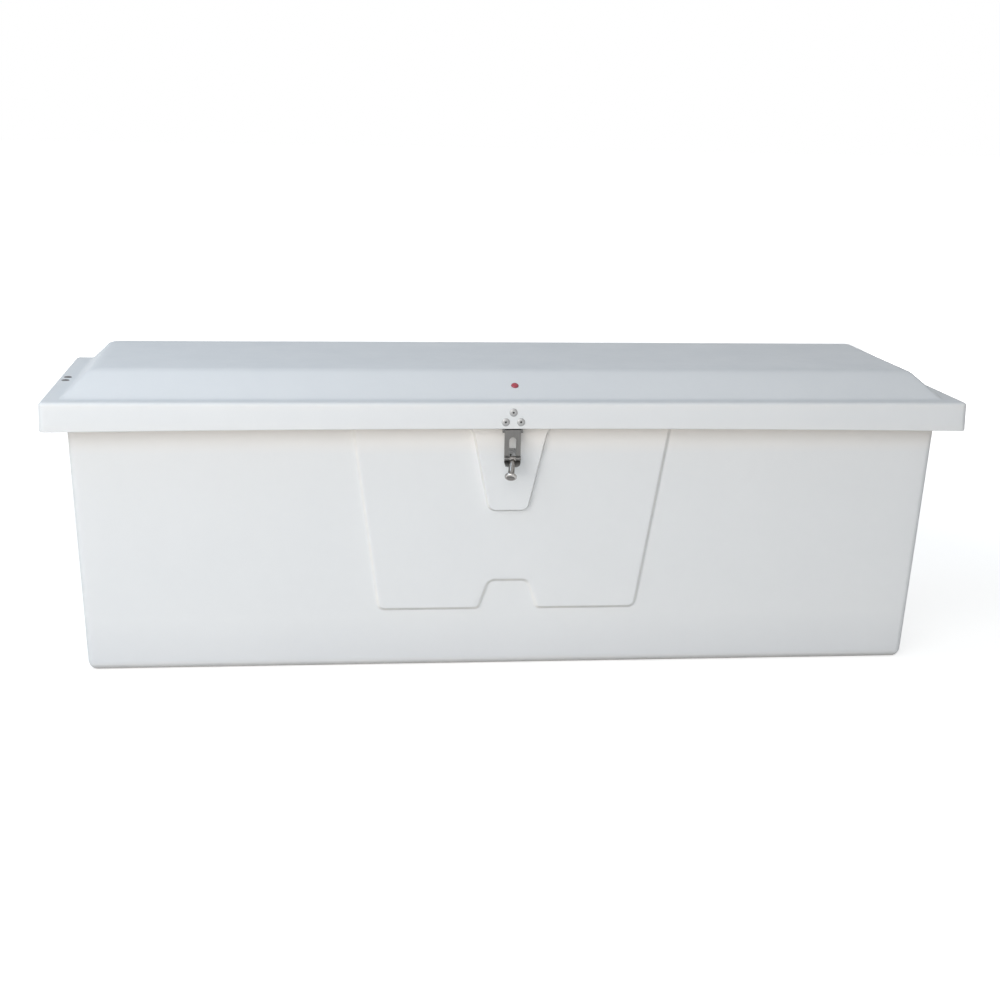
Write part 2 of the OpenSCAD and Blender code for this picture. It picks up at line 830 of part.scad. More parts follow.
module hasp_leaf() {
    bottom = hasp_z + hasp_knuckle_r + hinge_air;
    skirt_low = skirt_z + skirt_arch;
    foot = hasp_leaf_w / 2;
    barrel = hasp_barrel_l / 2;
    gap = strap_w + 2 * hinge_air;
    color(steel)
        difference() {
            union() {
                translate([hasp_x, -skirt_in_y + hasp_leaf_t, 0])
                    rotate([90, 0, 0])
                        linear_extrude(hasp_leaf_t)
                            polygon([[-barrel, hasp_z], [barrel, hasp_z], [barrel, skirt_low], [foot, skirt_low],
                                [foot, hasp_rivet_z + rivet_land / 2], [rivet_land, hasp_leaf_top],
                                [-rivet_land, hasp_leaf_top], [-foot, hasp_rivet_z + rivet_land / 2],
                                [-foot, skirt_low], [-barrel, skirt_low]]);
                translate([hasp_x - barrel, hasp_y, hasp_z])
                    rotate([0, 90, 0])
                        cylinder(r = hasp_knuckle_r, h = hasp_barrel_l);
            }
            translate([hasp_x - gap / 2, hasp_y - 2 * hasp_knuckle_r, hasp_z - 2 * hasp_knuckle_r])
                cube([gap, 4 * hasp_knuckle_r, bottom - hasp_z + 2 * hasp_knuckle_r]);
            translate([hasp_x - hasp_leaf_w, hasp_y, hasp_z])
                rotate([0, 90, 0])
                    cylinder(r = hasp_pin_r + pin_air, h = 2 * hasp_leaf_w);
            at_hasp_rivets()
                rivet_hole(lid_t + hasp_leaf_t);
        }
}

module hasp_pin() {
    color(steel)
        translate([hasp_x - hasp_barrel_l / 2, hasp_y, hasp_z])
            rotate([0, 90, 0])
                cylinder(r = hasp_pin_r, h = hasp_barrel_l);
}

module hasp_rivets() {
    color(steel)
        at_hasp_rivets()
            rivet(lid_t + hasp_leaf_t);
}

// Strap with its slot, the two ears for the pull's pivot and the tab that the pull rests on
module hasp_strap() {
    slot_high = hasp_z - slot_top - slot_w / 2;
    color(steel)
        difference() {
            union() {
                translate([hasp_x - strap_w / 2, hasp_y, hasp_z])
                    rotate([0, 90, 0])
                        cylinder(r = hasp_knuckle_r, h = strap_w);
                translate([hasp_x - strap_w / 2, strap_front, strap_low])
                    cube([strap_w, strap_t, hasp_z - strap_low]);
                translate([hasp_x - strap_w / 2, pivot_y, pivot_z])
                    rotate([0, 90, 0])
                        cylinder(r = ear_r, h = strap_w);
                translate([hasp_x - strap_w / 2, pivot_y, pivot_z - ear_r])
                    cube([strap_w, ear_r + strap_t / 2, 2 * ear_r]);
                translate([hasp_x, tab_y, tab_z])
                    rotate([90 - pull_tilt, 0, 0])
                        tab_plate(tab_corner_r);
            }
            translate([hasp_x - slot_w / 2, pivot_y - 2 * ear_r, strap_low])
                cube([slot_w, 4 * ear_r + strap_t, slot_high - strap_low]);
            translate([hasp_x, strap_back + over, slot_high])
                rotate([90, 0, 0])
                    cylinder(r = slot_w / 2, h = strap_t + 2 * over);
            translate([hasp_x - strap_w, hasp_y, hasp_z])
                rotate([0, 90, 0])
                    cylinder(r = hasp_pin_r + pin_air, h = 2 * strap_w);
            translate([hasp_x - strap_w, pivot_y, pivot_z])
                rotate([0, 90, 0])
                    cylinder(r = pivot_r, h = 2 * strap_w);
        }
}

// Tab with round corners: its upper face lies on local z = 0 and it runs towards local -Y
module tab_plate(r) {
    translate([0, 0, -strap_t])
        linear_extrude(strap_t)
            union() {
                translate([-strap_w / 2, r - tab_l])
                    square([strap_w, tab_l - r]);
                translate([r - strap_w / 2, -tab_l])
                    square([strap_w - 2 * r, r]);
                for (x = [-1, 1])
                    translate([x * (strap_w / 2 - r), r - tab_l])
                        circle(r);
            }
}

module pull_pivot_pin() {
    color(steel)
        translate([hasp_x - strap_w / 2, pivot_y, pivot_z])
            rotate([0, 90, 0])
                cylinder(r = pivot_r, h = strap_w);
}

// Hanging pull: an eye on the pivot pin, a round shank and a flat knob
module pull_lever() {
    eye_w = slot_w - 2 * hinge_air;
    rim = knob_h / 4;
    color(steel)
        difference() {
            union() {
                translate([hasp_x - eye_w / 2, pivot_y, pivot_z])
                    rotate([0, 90, 0])
                        cylinder(r = eye_r, h = eye_w);
                translate([hasp_x, pivot_y, pivot_z])
                    rotate([180 - pull_tilt, 0, 0])
                        rotate([0, pull_lean, 0]) {
                            cylinder(r1 = shank_r, r2 = shank_foot_r, h = shank_l + rim);
                            translate([0, 0, shank_l]) {
                                cylinder(r1 = knob_r - rim, r2 = knob_r, h = rim);
                                translate([0, 0, rim])
                                    cylinder(r = knob_r, h = knob_h - 2 * rim);
                                translate([0, 0, knob_h - rim])
                                    cylinder(r1 = knob_r, r2 = knob_r - rim, h = rim);
                            }
                        }
            }
            translate([hasp_x - strap_w, pivot_y, pivot_z])
                rotate([0, 90, 0])
                    cylinder(r = pivot_r + pin_air, h = 2 * strap_w);
        }
}

// Lid struts

// Ball on a neck along X, from the plate face at x = plate to the ball at x = 0
module ball_stud(plate) {
    rotate([0, 90, 0]) {
        sphere(ball_r);
        cylinder(r = stud_r, h = plate + over / 2);
        translate([0, 0, plate - collar_l])
            cylinder(r = collar_r, h = collar_l + over / 4);
    }
}

// Place of the right wall bracket: local z = 0 is the wall's inside face and +Z points out of the wall
module at_wall_bracket() {
    translate([tub_x(ball_a[1]), ball_a[0], ball_a[1]])
        rotate([0, 90 + end_tilt, 0])
            translate([0, 0, -end_grip])
                children();
}

module wall_bracket(side) {
    color(steel)
        on_side(side)
            difference() {
                at_wall_bracket()
                    translate([0, 0, -bracket_t])
                        linear_extrude(bracket_t)
                            square([bracket_l / 2, bracket_l], center = true);
                at_wall_bracket()
                    translate([0, 0, -bracket_t - over])
                        cylinder(r = stud_r + pin_air, h = bracket_t + 2 * over);
                at_wall_bracket_rivets()
                    rivet_hole(end_grip + bracket_t);
            }
}

// Ball stud that seats on the wall bracket, with its spigot through the plate
module wall_stud(side) {
    color(steel)
        on_side(side)
            union() {
                difference() {
                    translate([strut_x, ball_a[0], ball_a[1]])
                        ball_stud(stud_l);
                    at_wall_bracket()
                        translate([0, 0, -bracket_t])
                            cylinder(r = 2 * collar_r, h = stud_l);
                }
                at_wall_bracket()
                    translate([0, 0, -bracket_t - over / 2])
                        cylinder(r = stud_r, h = bracket_t + over / 2);
            }
}

module wall_bracket_rivets() {
    color(steel)
        at_wall_bracket_rivets()
            rivet(end_grip + bracket_t);
}

// Angle under the ledge: a plate, a leg that hangs inside the tub wall and a ball stud
module lid_bracket(side) {
    leg_w = bracket_l / 2;
    leg_low = ball_b[1] - socket_r;
    plate_out = skirt_in_x - bracket_air;
    color(steel)
        on_side(side)
            difference() {
                union() {
                    translate([lid_leg_x, strut_y - bracket_l / 2, ledge_low - bracket_t])
                        cube([plate_out - lid_leg_x, bracket_l, bracket_t]);
                    translate([lid_leg_x, strut_y - leg_w / 2, leg_low])
                        cube([bracket_t, leg_w, ledge_low - leg_low]);
                    translate([strut_x, ball_b[0], ball_b[1]])
                        ball_stud(stud_l);
                }
                at_lid_bracket_rivets()
                    rivet_hole(lid_t + bracket_t);
            }
}

module lid_bracket_rivets() {
    color(steel)
        at_lid_bracket_rivets()
            rivet(lid_t + bracket_t);
}

// Puts a strut piece, made along +Z from the lower ball, where the strut lies with the lid closed
module along_strut(side) {
    on_side(side)
        translate([strut_x, ball_a[0], ball_a[1]])
            rotate([strut_turn, 0, 0])
                children();
}

// Socket round a ball at the origin, open towards +X, with a neck along +Z
module ball_socket() {
    reach = ball_r + socket_floor;
    difference() {
        union() {
            translate([-reach, 0, 0])
                rotate([0, 90, 0])
                    cylinder(r = socket_r, h = reach + socket_lip);
            cylinder(r = socket_neck_r, h = socket_l);
        }
        sphere(ball_r + strut_air);
        rotate([0, 90, 0])
            cylinder(r = ball_r + strut_air, h = socket_r);
        translate([0, 0, socket_l - end_thread])
            cylinder(r = rod_r, h = end_thread + over);
    }
}

module rod_socket(side) {
    color(black)
        along_strut(side)
            ball_socket();
}

module strut_rod(side) {
    color(steel)
        along_strut(side)
            translate([0, 0, socket_l - end_thread])
                cylinder(r = rod_r, h = rod_top - socket_l + end_thread);
}

module strut_piston(side) {
    color(black)
        along_strut(side)
            translate([0, 0, rod_top - piston_h])
                difference() {
                    cylinder(r = tube_in_r - strut_air, h = piston_h);
                    translate([0, 0, -over])
                        cylinder(r = rod_r, h = piston_h + 2 * over);
                }
}

// Tube with a closed head and a stud into the upper socket
module strut_tube(side) {
    color(black)
        along_strut(side)
            difference() {
                union() {
                    translate([0, 0, tube_low])
                        cylinder(r = tube_r, h = tube_top - tube_low);
                    translate([0, 0, tube_top])
                        cylinder(r = rod_r, h = end_thread);
                }
                translate([0, 0, tube_low - over])
                    cylinder(r = tube_in_r, h = tube_top - tube_head_h - tube_low + over);
            }
}

module tube_guide(side) {
    color(black)
        along_strut(side)
            translate([0, 0, tube_low])
                difference() {
                    cylinder(r = tube_in_r, h = guide_h);
                    translate([0, 0, -over])
                        cylinder(r = rod_r + strut_air, h = guide_h + 2 * over);
                }
}

module tube_socket(side) {
    color(black)
        along_strut(side)
            translate([0, 0, strut_l])
                rotate([180, 0, 0])
                    ball_socket();
}

tub_shell();
rim_seal();
hinge_body_leaf();
hinge_pin();
hinge_body_rivets();
keeper();
keeper_backing();
keeper_rivets();
wall_bracket(-1);  // wall_bracket_left
wall_bracket(1);  // wall_bracket_right
wall_bracket_rivets();
wall_stud(-1);  // wall_stud_left
wall_stud(1);  // wall_stud_right
lid_shell();
hinge_lid_leaf();
hinge_lid_rivets();
hasp_leaf();
hasp_pin();
hasp_rivets();
lid_bracket(-1);  // lid_bracket_left
lid_bracket(1);  // lid_bracket_right
lid_bracket_rivets();
lid_button();
hasp_strap();
pull_pivot_pin();
pull_lever();
strut_rod(-1);  // strut_rod_left
rod_socket(-1);  // rod_socket_left
strut_piston(-1);  // strut_piston_left
strut_tube(-1);  // strut_tube_left
tube_guide(-1);  // tube_guide_left
tube_socket(-1);  // tube_socket_left
strut_rod(1);  // strut_rod_right
rod_socket(1);  // rod_socket_right
strut_piston(1);  // strut_piston_right
strut_tube(1);  // strut_tube_right
tube_guide(1);  // tube_guide_right
tube_socket(1);  // tube_socket_right
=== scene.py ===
# Dock box: smooth moulded shells, steel fittings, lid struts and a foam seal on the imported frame.
import json
import math

import bmesh
import bpy
from mathutils import Matrix, Vector


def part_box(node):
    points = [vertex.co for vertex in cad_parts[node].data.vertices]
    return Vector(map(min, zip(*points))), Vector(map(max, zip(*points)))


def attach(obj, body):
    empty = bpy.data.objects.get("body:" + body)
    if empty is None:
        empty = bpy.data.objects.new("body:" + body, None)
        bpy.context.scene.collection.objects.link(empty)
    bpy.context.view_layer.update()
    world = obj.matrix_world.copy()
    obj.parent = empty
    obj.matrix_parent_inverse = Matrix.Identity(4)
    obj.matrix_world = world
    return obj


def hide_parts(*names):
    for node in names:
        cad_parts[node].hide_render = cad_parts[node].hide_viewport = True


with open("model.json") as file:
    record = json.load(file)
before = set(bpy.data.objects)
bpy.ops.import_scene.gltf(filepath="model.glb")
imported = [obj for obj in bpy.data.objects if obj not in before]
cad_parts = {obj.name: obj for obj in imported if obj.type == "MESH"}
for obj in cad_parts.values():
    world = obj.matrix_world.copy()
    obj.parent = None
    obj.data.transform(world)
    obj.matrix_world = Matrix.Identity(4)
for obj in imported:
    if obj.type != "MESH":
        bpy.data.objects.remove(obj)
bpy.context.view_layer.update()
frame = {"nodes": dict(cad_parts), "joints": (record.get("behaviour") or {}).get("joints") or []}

# Sizes in metres: from the frame where it has them, otherwise as in the part's source or close to it
tub_low, tub_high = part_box("tub_shell")
lid_low, lid_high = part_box("lid_shell")
seal_low, seal_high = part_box("rim_seal")
joint_at = {joint["name"]: Vector(joint["pos_m"]) for joint in frame["joints"]}

TUB_T = 0.005
TUB_CORNER_R = 0.014
TUB_EDGE_R = 0.020
FLOOR_STEP = 0.004
WALL_STEP = 0.006
LEAST_CORNER_R = 0.003
BASE_END_INSET = 0.066
BASE_SIDE_INSET = 0.102
END_LEAN = 0.023
SIDE_LEAN = 0.052
LIP_H = 0.040
LIP_CORNER_R = 0.016
LIP_EDGE_R = 0.002

PANEL_RAISE = 0.008
PANEL_HALF = 0.267
PANEL_FLARE = 0.14
PANEL_FOOT = 0.123
PANEL_CUT = 0.018
NOTCH_HALF = 0.0575
NOTCH_H = 0.061
NOTCH_TAPER = 0.020
NOTCH_CUT = 0.011
PANEL_EDGE_FROM = -0.0005
PANEL_EDGE_TO = 0.0085
BOSS_RAISE = 0.014
BOSS_X = joint_at["hasp_hinge"].x
BOSS_HALF = 0.042
BOSS_FLARE = 0.21
BOSS_FOOT = 0.336
BOSS_CUT = 0.018
BOSS_NECK = 0.500
BOSS_NECK_FLARE = 0.9
BOSS_NECK_CUT = 0.010
BOSS_EDGE_FROM = 0.0010
BOSS_EDGE_TO = 0.0065
HOLLOW_FADE = 0.006
RELIEF_PAST_FLANGE = 0.05

LID_T = 0.0045
LID_CORNER_R = 0.012
LID_EDGE_R = 0.007
SKIRT_EDGE_R = 0.0018
SKIRT_ARCH = 0.006
ARCH_FADE = 0.02
LEDGE_END = 0.038
LEDGE_SIDE = 0.036
DOME_H = 0.050
DOME_FRONT_RUN = 0.078
DOME_REAR_RUN = 0.055
DOME_END_RUN = 0.050
DOME_CORNER_R = 0.010
DOME_EDGE_R = 0.016
DOME_FOOT_R = 0.006
DOME_TOP_STEP = 0.01

RIVET_HEAD_R = 0.008
RIVET_HEAD_H = 0.0018
RIVET_BORE_R = 0.0019
RIVET_R = 0.0024
RIVET_TAIL_R = 0.0038
RIVET_TAIL_H = 0.004

SEAL_W = 0.018
SEAL_CORNER_R = 0.008
STRUT_Y = -0.014
SEAL_CUT = 0.068

PULL_TILT = math.radians(42)
PULL_LEAN = math.radians(-9)
EYE_R = 0.0059
SHANK_R = 0.0057
SHANK_FOOT_R = 0.0066
SHANK_L = 0.038
KNOB_R = 0.012
KNOB_H = 0.007
KNOB_DISH_RIM = 0.0004
KNOB_DISH = 0.0006
EYE_W = 0.0128
EYE_SOFT = 0.0012
SHANK_FILLET = 0.0010
PIVOT_R = 0.00255
BUTTON_R = 0.0076
BUTTON_H = 0.003

rim_h = tub_high.z
flange_low = rim_h - TUB_T
ledge_z = lid_high.z - DOME_H
skirt_z = lid_low.z
relief_top = flange_low + RELIEF_PAST_FLANGE
hollow_top = flange_low - 2 * TUB_T


def tub_x(z):
    return lid_high.x - BASE_END_INSET + END_LEAN * z / rim_h


def tub_y(z):
    return lid_high.y - BASE_SIDE_INSET + SIDE_LEAN * z / rim_h


# Camera at the photograph's angle
CAMERA_AT = Vector((-0.42366, -3.64619, 1.13977))
CAMERA_YAW = 0.11744
CAMERA_PITCH = 0.22388
CAMERA_ROLL = 0.02006
CAMERA_LENS = 62.926
CAMERA_SENSOR = 36.0
CAMERA_SIGHT = 200.0


def make_camera():
    look = Vector((math.sin(CAMERA_YAW) * math.cos(CAMERA_PITCH),
                   math.cos(CAMERA_YAW) * math.cos(CAMERA_PITCH),
                   -math.sin(CAMERA_PITCH)))
    level = Vector((math.cos(CAMERA_YAW), -math.sin(CAMERA_YAW), 0.0))
    upright = level.cross(look)
    side = math.cos(CAMERA_ROLL) * level + math.sin(CAMERA_ROLL) * upright
    up = math.cos(CAMERA_ROLL) * upright - math.sin(CAMERA_ROLL) * level
    data = bpy.data.cameras.new("photo_camera")
    data.sensor_width = CAMERA_SENSOR
    data.lens = CAMERA_LENS
    data.clip_end = CAMERA_SIGHT
    camera = bpy.data.objects.new("photo_camera", data)
    bpy.context.scene.collection.objects.link(camera)
    facing = Matrix((side, up, -look)).transposed().to_4x4()
    camera.matrix_world = Matrix.Translation(CAMERA_AT) @ facing
    bpy.context.scene.camera = camera


# Node helpers
def add(tree, kind, inputs=None, **settings):
    """Adds a node; each input takes a value or the socket that feeds it."""
    node = tree.nodes.new(kind)
    for name, value in settings.items():
        setattr(node, name, value)
    for name, value in (inputs or {}).items():
        if isinstance(value, bpy.types.NodeSocket):
            tree.links.new(value, node.inputs[name])
        else:
            node.inputs[name].default_value = value
    return node


def maths(tree, operation, first, second=0.0):
    return add(tree, "ShaderNodeMath", {0: first, 1: second}, operation=operation).outputs[0]


def remap(tree, value, low, high, to_low, to_high):
    node = add(tree, "ShaderNodeMapRange",
               {"Value": value, "From Min": low, "From Max": high, "To Min": to_low, "To Max": to_high})
    return node.outputs["Result"]


def mix_colour(tree, factor, first, second):
    return add(tree, "ShaderNodeMix", {0: factor, 6: first, 7: second}, data_type="RGBA").outputs[2]


def start_group(name, inputs, outputs):
    """An empty node group with float inputs and the named outputs."""
    group = bpy.data.node_groups.new(name, "ShaderNodeTree")
    for label, value in inputs.items():
        socket = group.interface.new_socket(label, in_out="INPUT", socket_type="NodeSocketFloat")
        socket.default_value = value
    for label in outputs:
        group.interface.new_socket(label, in_out="OUTPUT", socket_type="NodeSocketFloat")
    return group, group.nodes.new("NodeGroupInput").outputs, group.nodes.new("NodeGroupOutput").inputs


def piece_place(tree):
    return add(tree, "ShaderNodeTexCoord").outputs["Object"]


def cloudy_tone_group():
    """Slow, uneven patches over a surface, from 0 to 1."""
    group, given, result = start_group("cloudy_tone", {"Scale": 3.0, "Contrast": 1.0}, ["Tone"])
    noise = add(group, "ShaderNodeTexNoise",
                {"Vector": piece_place(group), "Scale": given["Scale"], "Detail": 4.0, "Roughness": 0.55})
    centred = maths(group, "SUBTRACT", noise.outputs["Fac"], 0.5)
    spread_out = maths(group, "MULTIPLY", centred, given["Contrast"])
    tone = add(group, "ShaderNodeMath", {0: spread_out, 1: 0.5}, operation="ADD", use_clamp=True)
    group.links.new(tone.outputs[0], result["Tone"])
    return group


def fine_lines_group():
    """Fine lines drawn out along one direction: brushing and wiping marks."""
    group, given, result = start_group(
        "fine_lines", {"Across": 900.0, "Along X": 1.0, "Along Y": 1.0, "Along Z": 0.02}, ["Lines"])
    stretch = add(group, "ShaderNodeCombineXYZ",
                  {0: given["Along X"], 1: given["Along Y"], 2: given["Along Z"]})
    place = add(group, "ShaderNodeVectorMath", {0: piece_place(group), 1: stretch.outputs[0]},
                operation="MULTIPLY")
    noise = add(group, "ShaderNodeTexNoise",
                {"Vector": place.outputs[0], "Scale": given["Across"], "Detail": 3.0, "Roughness": 0.7})
    group.links.new(remap(group, noise.outputs["Fac"], 0.3, 0.7, 0.0, 1.0), result["Lines"])
    return group


def surface_grain_group():
    """Height of a fine pebbled skin over a slower ripple."""
    group, given, result = start_group(
        "surface_grain",
        {"Fine Scale": 900.0, "Fine Part": 0.5, "Ripple Scale": 8.0, "Ripple Part": 0.5},
        ["Height"])
    place = piece_place(group)
    fine = add(group, "ShaderNodeTexNoise",
               {"Vector": place, "Scale": given["Fine Scale"], "Detail": 2.0})
    ripple = add(group, "ShaderNodeTexNoise",
                 {"Vector": place, "Scale": given["Ripple Scale"], "Detail": 1.0})
    fine_part = maths(group, "MULTIPLY", fine.outputs["Fac"], given["Fine Part"])
    ripple_part = maths(group, "MULTIPLY", ripple.outputs["Fac"], given["Ripple Part"])
    group.links.new(maths(group, "ADD", fine_part, ripple_part), result["Height"])
    return group


def settled_dust_group():
    """Thin dust where a surface faces up, broken into patches."""
    group, given, result = start_group("settled_dust", {"Amount": 0.3, "Patch Scale": 14.0}, ["Dust"])
    normal = add(group, "ShaderNodeNewGeometry").outputs["Normal"]
    upward = add(group, "ShaderNodeSeparateXYZ", {0: normal}).outputs["Z"]
    facing = remap(group, upward, 0.2, 1.0, 0.0, 1.0)
    noise = add(group, "ShaderNodeTexNoise",
                {"Vector": piece_place(group), "Scale": given["Patch Scale"],
                 "Detail": 6.0, "Roughness": 0.65})
    patches = remap(group, noise.outputs["Fac"], 0.35, 0.7, 0.2, 1.0)
    lying = maths(group, "MULTIPLY", facing, patches)
    group.links.new(maths(group, "MULTIPLY", lying, given["Amount"]), result["Dust"])
    return group


def edge_wear_and_light_group():
    """Edge tint for wear and painted light, from the edge value that the meshes carry, broken up by noise.
    """
    group, given, result = start_group("edge_rub", {"Amount": 0.5, "Break Scale": 60.0}, ["Rub"])
    edge = add(group, "ShaderNodeAttribute", attribute_name="edge").outputs["Fac"]
    noise = add(group, "ShaderNodeTexNoise",
                {"Vector": piece_place(group), "Scale": given["Break Scale"], "Detail": 4.0})
    broken = remap(group, noise.outputs["Fac"], 0.35, 0.65, 0.45, 1.0)
    rubbed = maths(group, "MULTIPLY", edge, broken)
    group.links.new(maths(group, "MULTIPLY", rubbed, given["Amount"]), result["Rub"])
    return group


cloudy_tone = cloudy_tone_group()
fine_lines = fine_lines_group()
surface_grain = surface_grain_group()
settled_dust = settled_dust_group()
edge_rub = edge_wear_and_light_group()


def effect(tree, group, output, **values):
    """Places a shared effect; a value's name is its socket's name with _ for a space."""
    node = add(tree, "ShaderNodeGroup", node_tree=group)
    for name, value in values.items():
        node.inputs[name.replace("_", " ").title()].default_value = value
    return node.outputs[output]


def new_material(name):
    """A material with its nodes, its principled shader and nothing else set."""
    material = bpy.data.materials.new(name)
    material.use_nodes = True
    return material, material.node_tree, material.node_tree.nodes["Principled BSDF"]


def set_inputs(tree, shader, **values):
    """Sets or feeds the shader's sockets; a value's name is its socket's name with _ for a space."""
    names = {socket.name.replace(" ", "_").lower(): socket for socket in shader.inputs}
    for name, value in values.items():
        if isinstance(value, bpy.types.NodeSocket):
            tree.links.new(value, names[name])
        else:
            names[name].default_value = value


def bump(tree, height, distance):
    node = add(tree, "ShaderNodeBump", {"Height": height, "Distance": distance, "Strength": 1.0})
    return node.outputs["Normal"]


# Materials
# Heights of the band of painted warm bounce light under the lid's skirt
TUB_BOUNCE_LIGHT_FROM = 0.455
TUB_BOUNCE_LIGHT_TO = 0.535
# Top of the painted shade at the tub's foot
TUB_FOOT_SHADE_TOP = 0.110


def tub_painted_light(tree, colour, chalk):
    """The tub's painted light: warm bounce light under the skirt, shade towards its foot and on faces that
    point down.
    """
    height = add(tree, "ShaderNodeSeparateXYZ", {0: piece_place(tree)}).outputs["Z"]
    # Painted warm bounce light: a warm tint in the band just under the lid's skirt.
    bounce_light = remap(tree, height, TUB_BOUNCE_LIGHT_FROM, TUB_BOUNCE_LIGHT_TO, 0.0, 0.70)
    colour = mix_colour(tree, bounce_light, colour, (0.97, 0.86, 0.74, 1.0))
    # Painted shade: darker and bluer towards the foot.
    foot_shade = remap(tree, height, TUB_FOOT_SHADE_TOP, 0.0, 0.0, 0.36)
    colour = mix_colour(tree, foot_shade, colour, (0.56, 0.575, 0.61, 1.0))
    # Painted shade on faces that point down, a little broken up by the chalky patches.
    facing = add(tree, "ShaderNodeNewGeometry").outputs["Normal"]
    upward = add(tree, "ShaderNodeSeparateXYZ", {0: facing}).outputs["Z"]
    underside_shade = remap(tree, upward, -0.40, -1.0, 0.0, 1.0)
    underside_shade = maths(tree, "MULTIPLY", underside_shade, remap(tree, chalk, 0.0, 1.0, 0.80, 1.0))
    return mix_colour(tree, underside_shade, colour, (0.30, 0.295, 0.29, 1.0))


def gelcoat(name, deep, light, on_tub=False):
    """White moulded gelcoat: chalky in patches, lighter and warmer along its edges as wear and painted
    highlight, dusty on top; on the tub, painted light as well.
    """
    material, tree, shader = new_material(name)
    tone = effect(tree, cloudy_tone, "Tone", scale=1.7, contrast=1.3)
    colour = mix_colour(tree, tone, deep, light)
    chalk = effect(tree, cloudy_tone, "Tone", scale=42.0, contrast=1.6)
    colour = mix_colour(tree, maths(tree, "MULTIPLY", chalk, 0.10), colour, (0.70, 0.71, 0.72, 1.0))
    # The tub also gets painted warm bounce light and painted shade.
    if on_tub:
        colour = tub_painted_light(tree, colour, chalk)
    # Lighter, warmer moulded edges: wear and a painted warm highlight.
    wear_and_light = effect(tree, edge_rub, "Rub", amount=0.6, break_scale=30.0)
    colour = mix_colour(tree, wear_and_light, colour, (0.86, 0.825, 0.760, 1.0))
    dust = effect(tree, settled_dust, "Dust", amount=0.18, patch_scale=11.0)
    colour = mix_colour(tree, dust, colour, (0.62, 0.635, 0.65, 1.0))
    wiped = effect(tree, fine_lines, "Lines", across=160.0, along_x=0.05, along_y=1.0, along_z=1.0)
    rough = remap(tree, chalk, 0.0, 1.0, 0.42, 0.52)
    rough = maths(tree, "ADD", rough, maths(tree, "MULTIPLY", wiped, 0.05))
    rough = maths(tree, "ADD", rough, maths(tree, "MULTIPLY", dust, 0.5))
    grain = effect(tree, surface_grain, "Height", fine_scale=420.0, fine_part=0.06,
                   ripple_scale=5.0, ripple_part=1.0)
    set_inputs(tree, shader, base_color=colour, roughness=rough, normal=bump(tree, grain, 0.0016), ior=1.45)
    return material


def laminate_inside():
    """Inside face of the mouldings: flow coat over chopped strand, duller than the gelcoat."""
    material, tree, shader = new_material("flow_coat_inside")
    tone = effect(tree, cloudy_tone, "Tone", scale=6.0, contrast=1.8)
    colour = mix_colour(tree, tone, (0.60, 0.605, 0.60, 1.0), (0.71, 0.71, 0.695, 1.0))
    dust = effect(tree, settled_dust, "Dust", amount=0.4, patch_scale=9.0)
    colour = mix_colour(tree, dust, colour, (0.50, 0.47, 0.42, 1.0))
    place = piece_place(tree)
    strands = add(tree, "ShaderNodeTexVoronoi", {"Vector": place, "Scale": 85.0, "Randomness": 1.0},
                  distance="MANHATTAN", feature="F2").outputs["Distance"]
    grain = effect(tree, surface_grain, "Height", fine_scale=260.0, fine_part=0.5,
                   ripple_scale=12.0, ripple_part=0.8)
    weave = maths(tree, "ADD", maths(tree, "MULTIPLY", strands, 0.6), grain)
    rough = remap(tree, tone, 0.0, 1.0, 0.42, 0.60)
    set_inputs(tree, shader, base_color=colour, roughness=rough, normal=bump(tree, weave, 0.0012), ior=1.5)
    return material


def brushed_stainless(name, along_x=1.0, along_z=0.02):
    """Sheet stainless with a drawn grain, dull patches and bright rubbed edges."""
    material, tree, shader = new_material(name)
    lines = effect(tree, fine_lines, "Lines", across=1400.0,
                   along_x=along_x, along_y=1.0, along_z=along_z)
    tone = effect(tree, cloudy_tone, "Tone", scale=55.0, contrast=1.5)
    colour = mix_colour(tree, lines, (0.125, 0.123, 0.120, 1.0), (0.170, 0.168, 0.164, 1.0))
    colour = mix_colour(tree, maths(tree, "MULTIPLY", tone, 0.35), colour, (0.125, 0.121, 0.115, 1.0))
    wear_and_light = effect(tree, edge_rub, "Rub", amount=0.6, break_scale=180.0)
    colour = mix_colour(tree, wear_and_light, colour, (0.48, 0.48, 0.48, 1.0))
    rough = remap(tree, lines, 0.0, 1.0, 0.30, 0.42)
    rough = maths(tree, "ADD", rough, maths(tree, "MULTIPLY", tone, 0.08))
    set_inputs(tree, shader, base_color=colour, metallic=1.0, roughness=rough,
               normal=bump(tree, lines, 0.00004), anisotropic=0.35)
    return material


def polished_steel():
    """Turned and polished steel with finger marks, a few fine scratches and rims lightened as wear and
    painted highlight.
    """
    material, tree, shader = new_material("polished_steel")
    marks = effect(tree, cloudy_tone, "Tone", scale=130.0, contrast=2.2)
    lines = effect(tree, fine_lines, "Lines", across=700.0, along_x=0.1, along_y=1.0, along_z=1.0)
    colour = mix_colour(tree, marks, (0.150, 0.142, 0.136, 1.0), (0.205, 0.195, 0.187, 1.0))
    # Lighter rims, strongest on the knob: wear and a painted highlight.
    wear_and_light = effect(tree, edge_rub, "Rub", amount=0.9, break_scale=400.0)
    colour = mix_colour(tree, wear_and_light, colour, (0.64, 0.62, 0.60, 1.0))
    rough = remap(tree, marks, 0.0, 1.0, 0.10, 0.22)
    rough = maths(tree, "ADD", rough, maths(tree, "MULTIPLY", lines, 0.06))
    set_inputs(tree, shader, base_color=colour, metallic=1.0, roughness=rough,
               normal=bump(tree, lines, 0.00002))
    return material


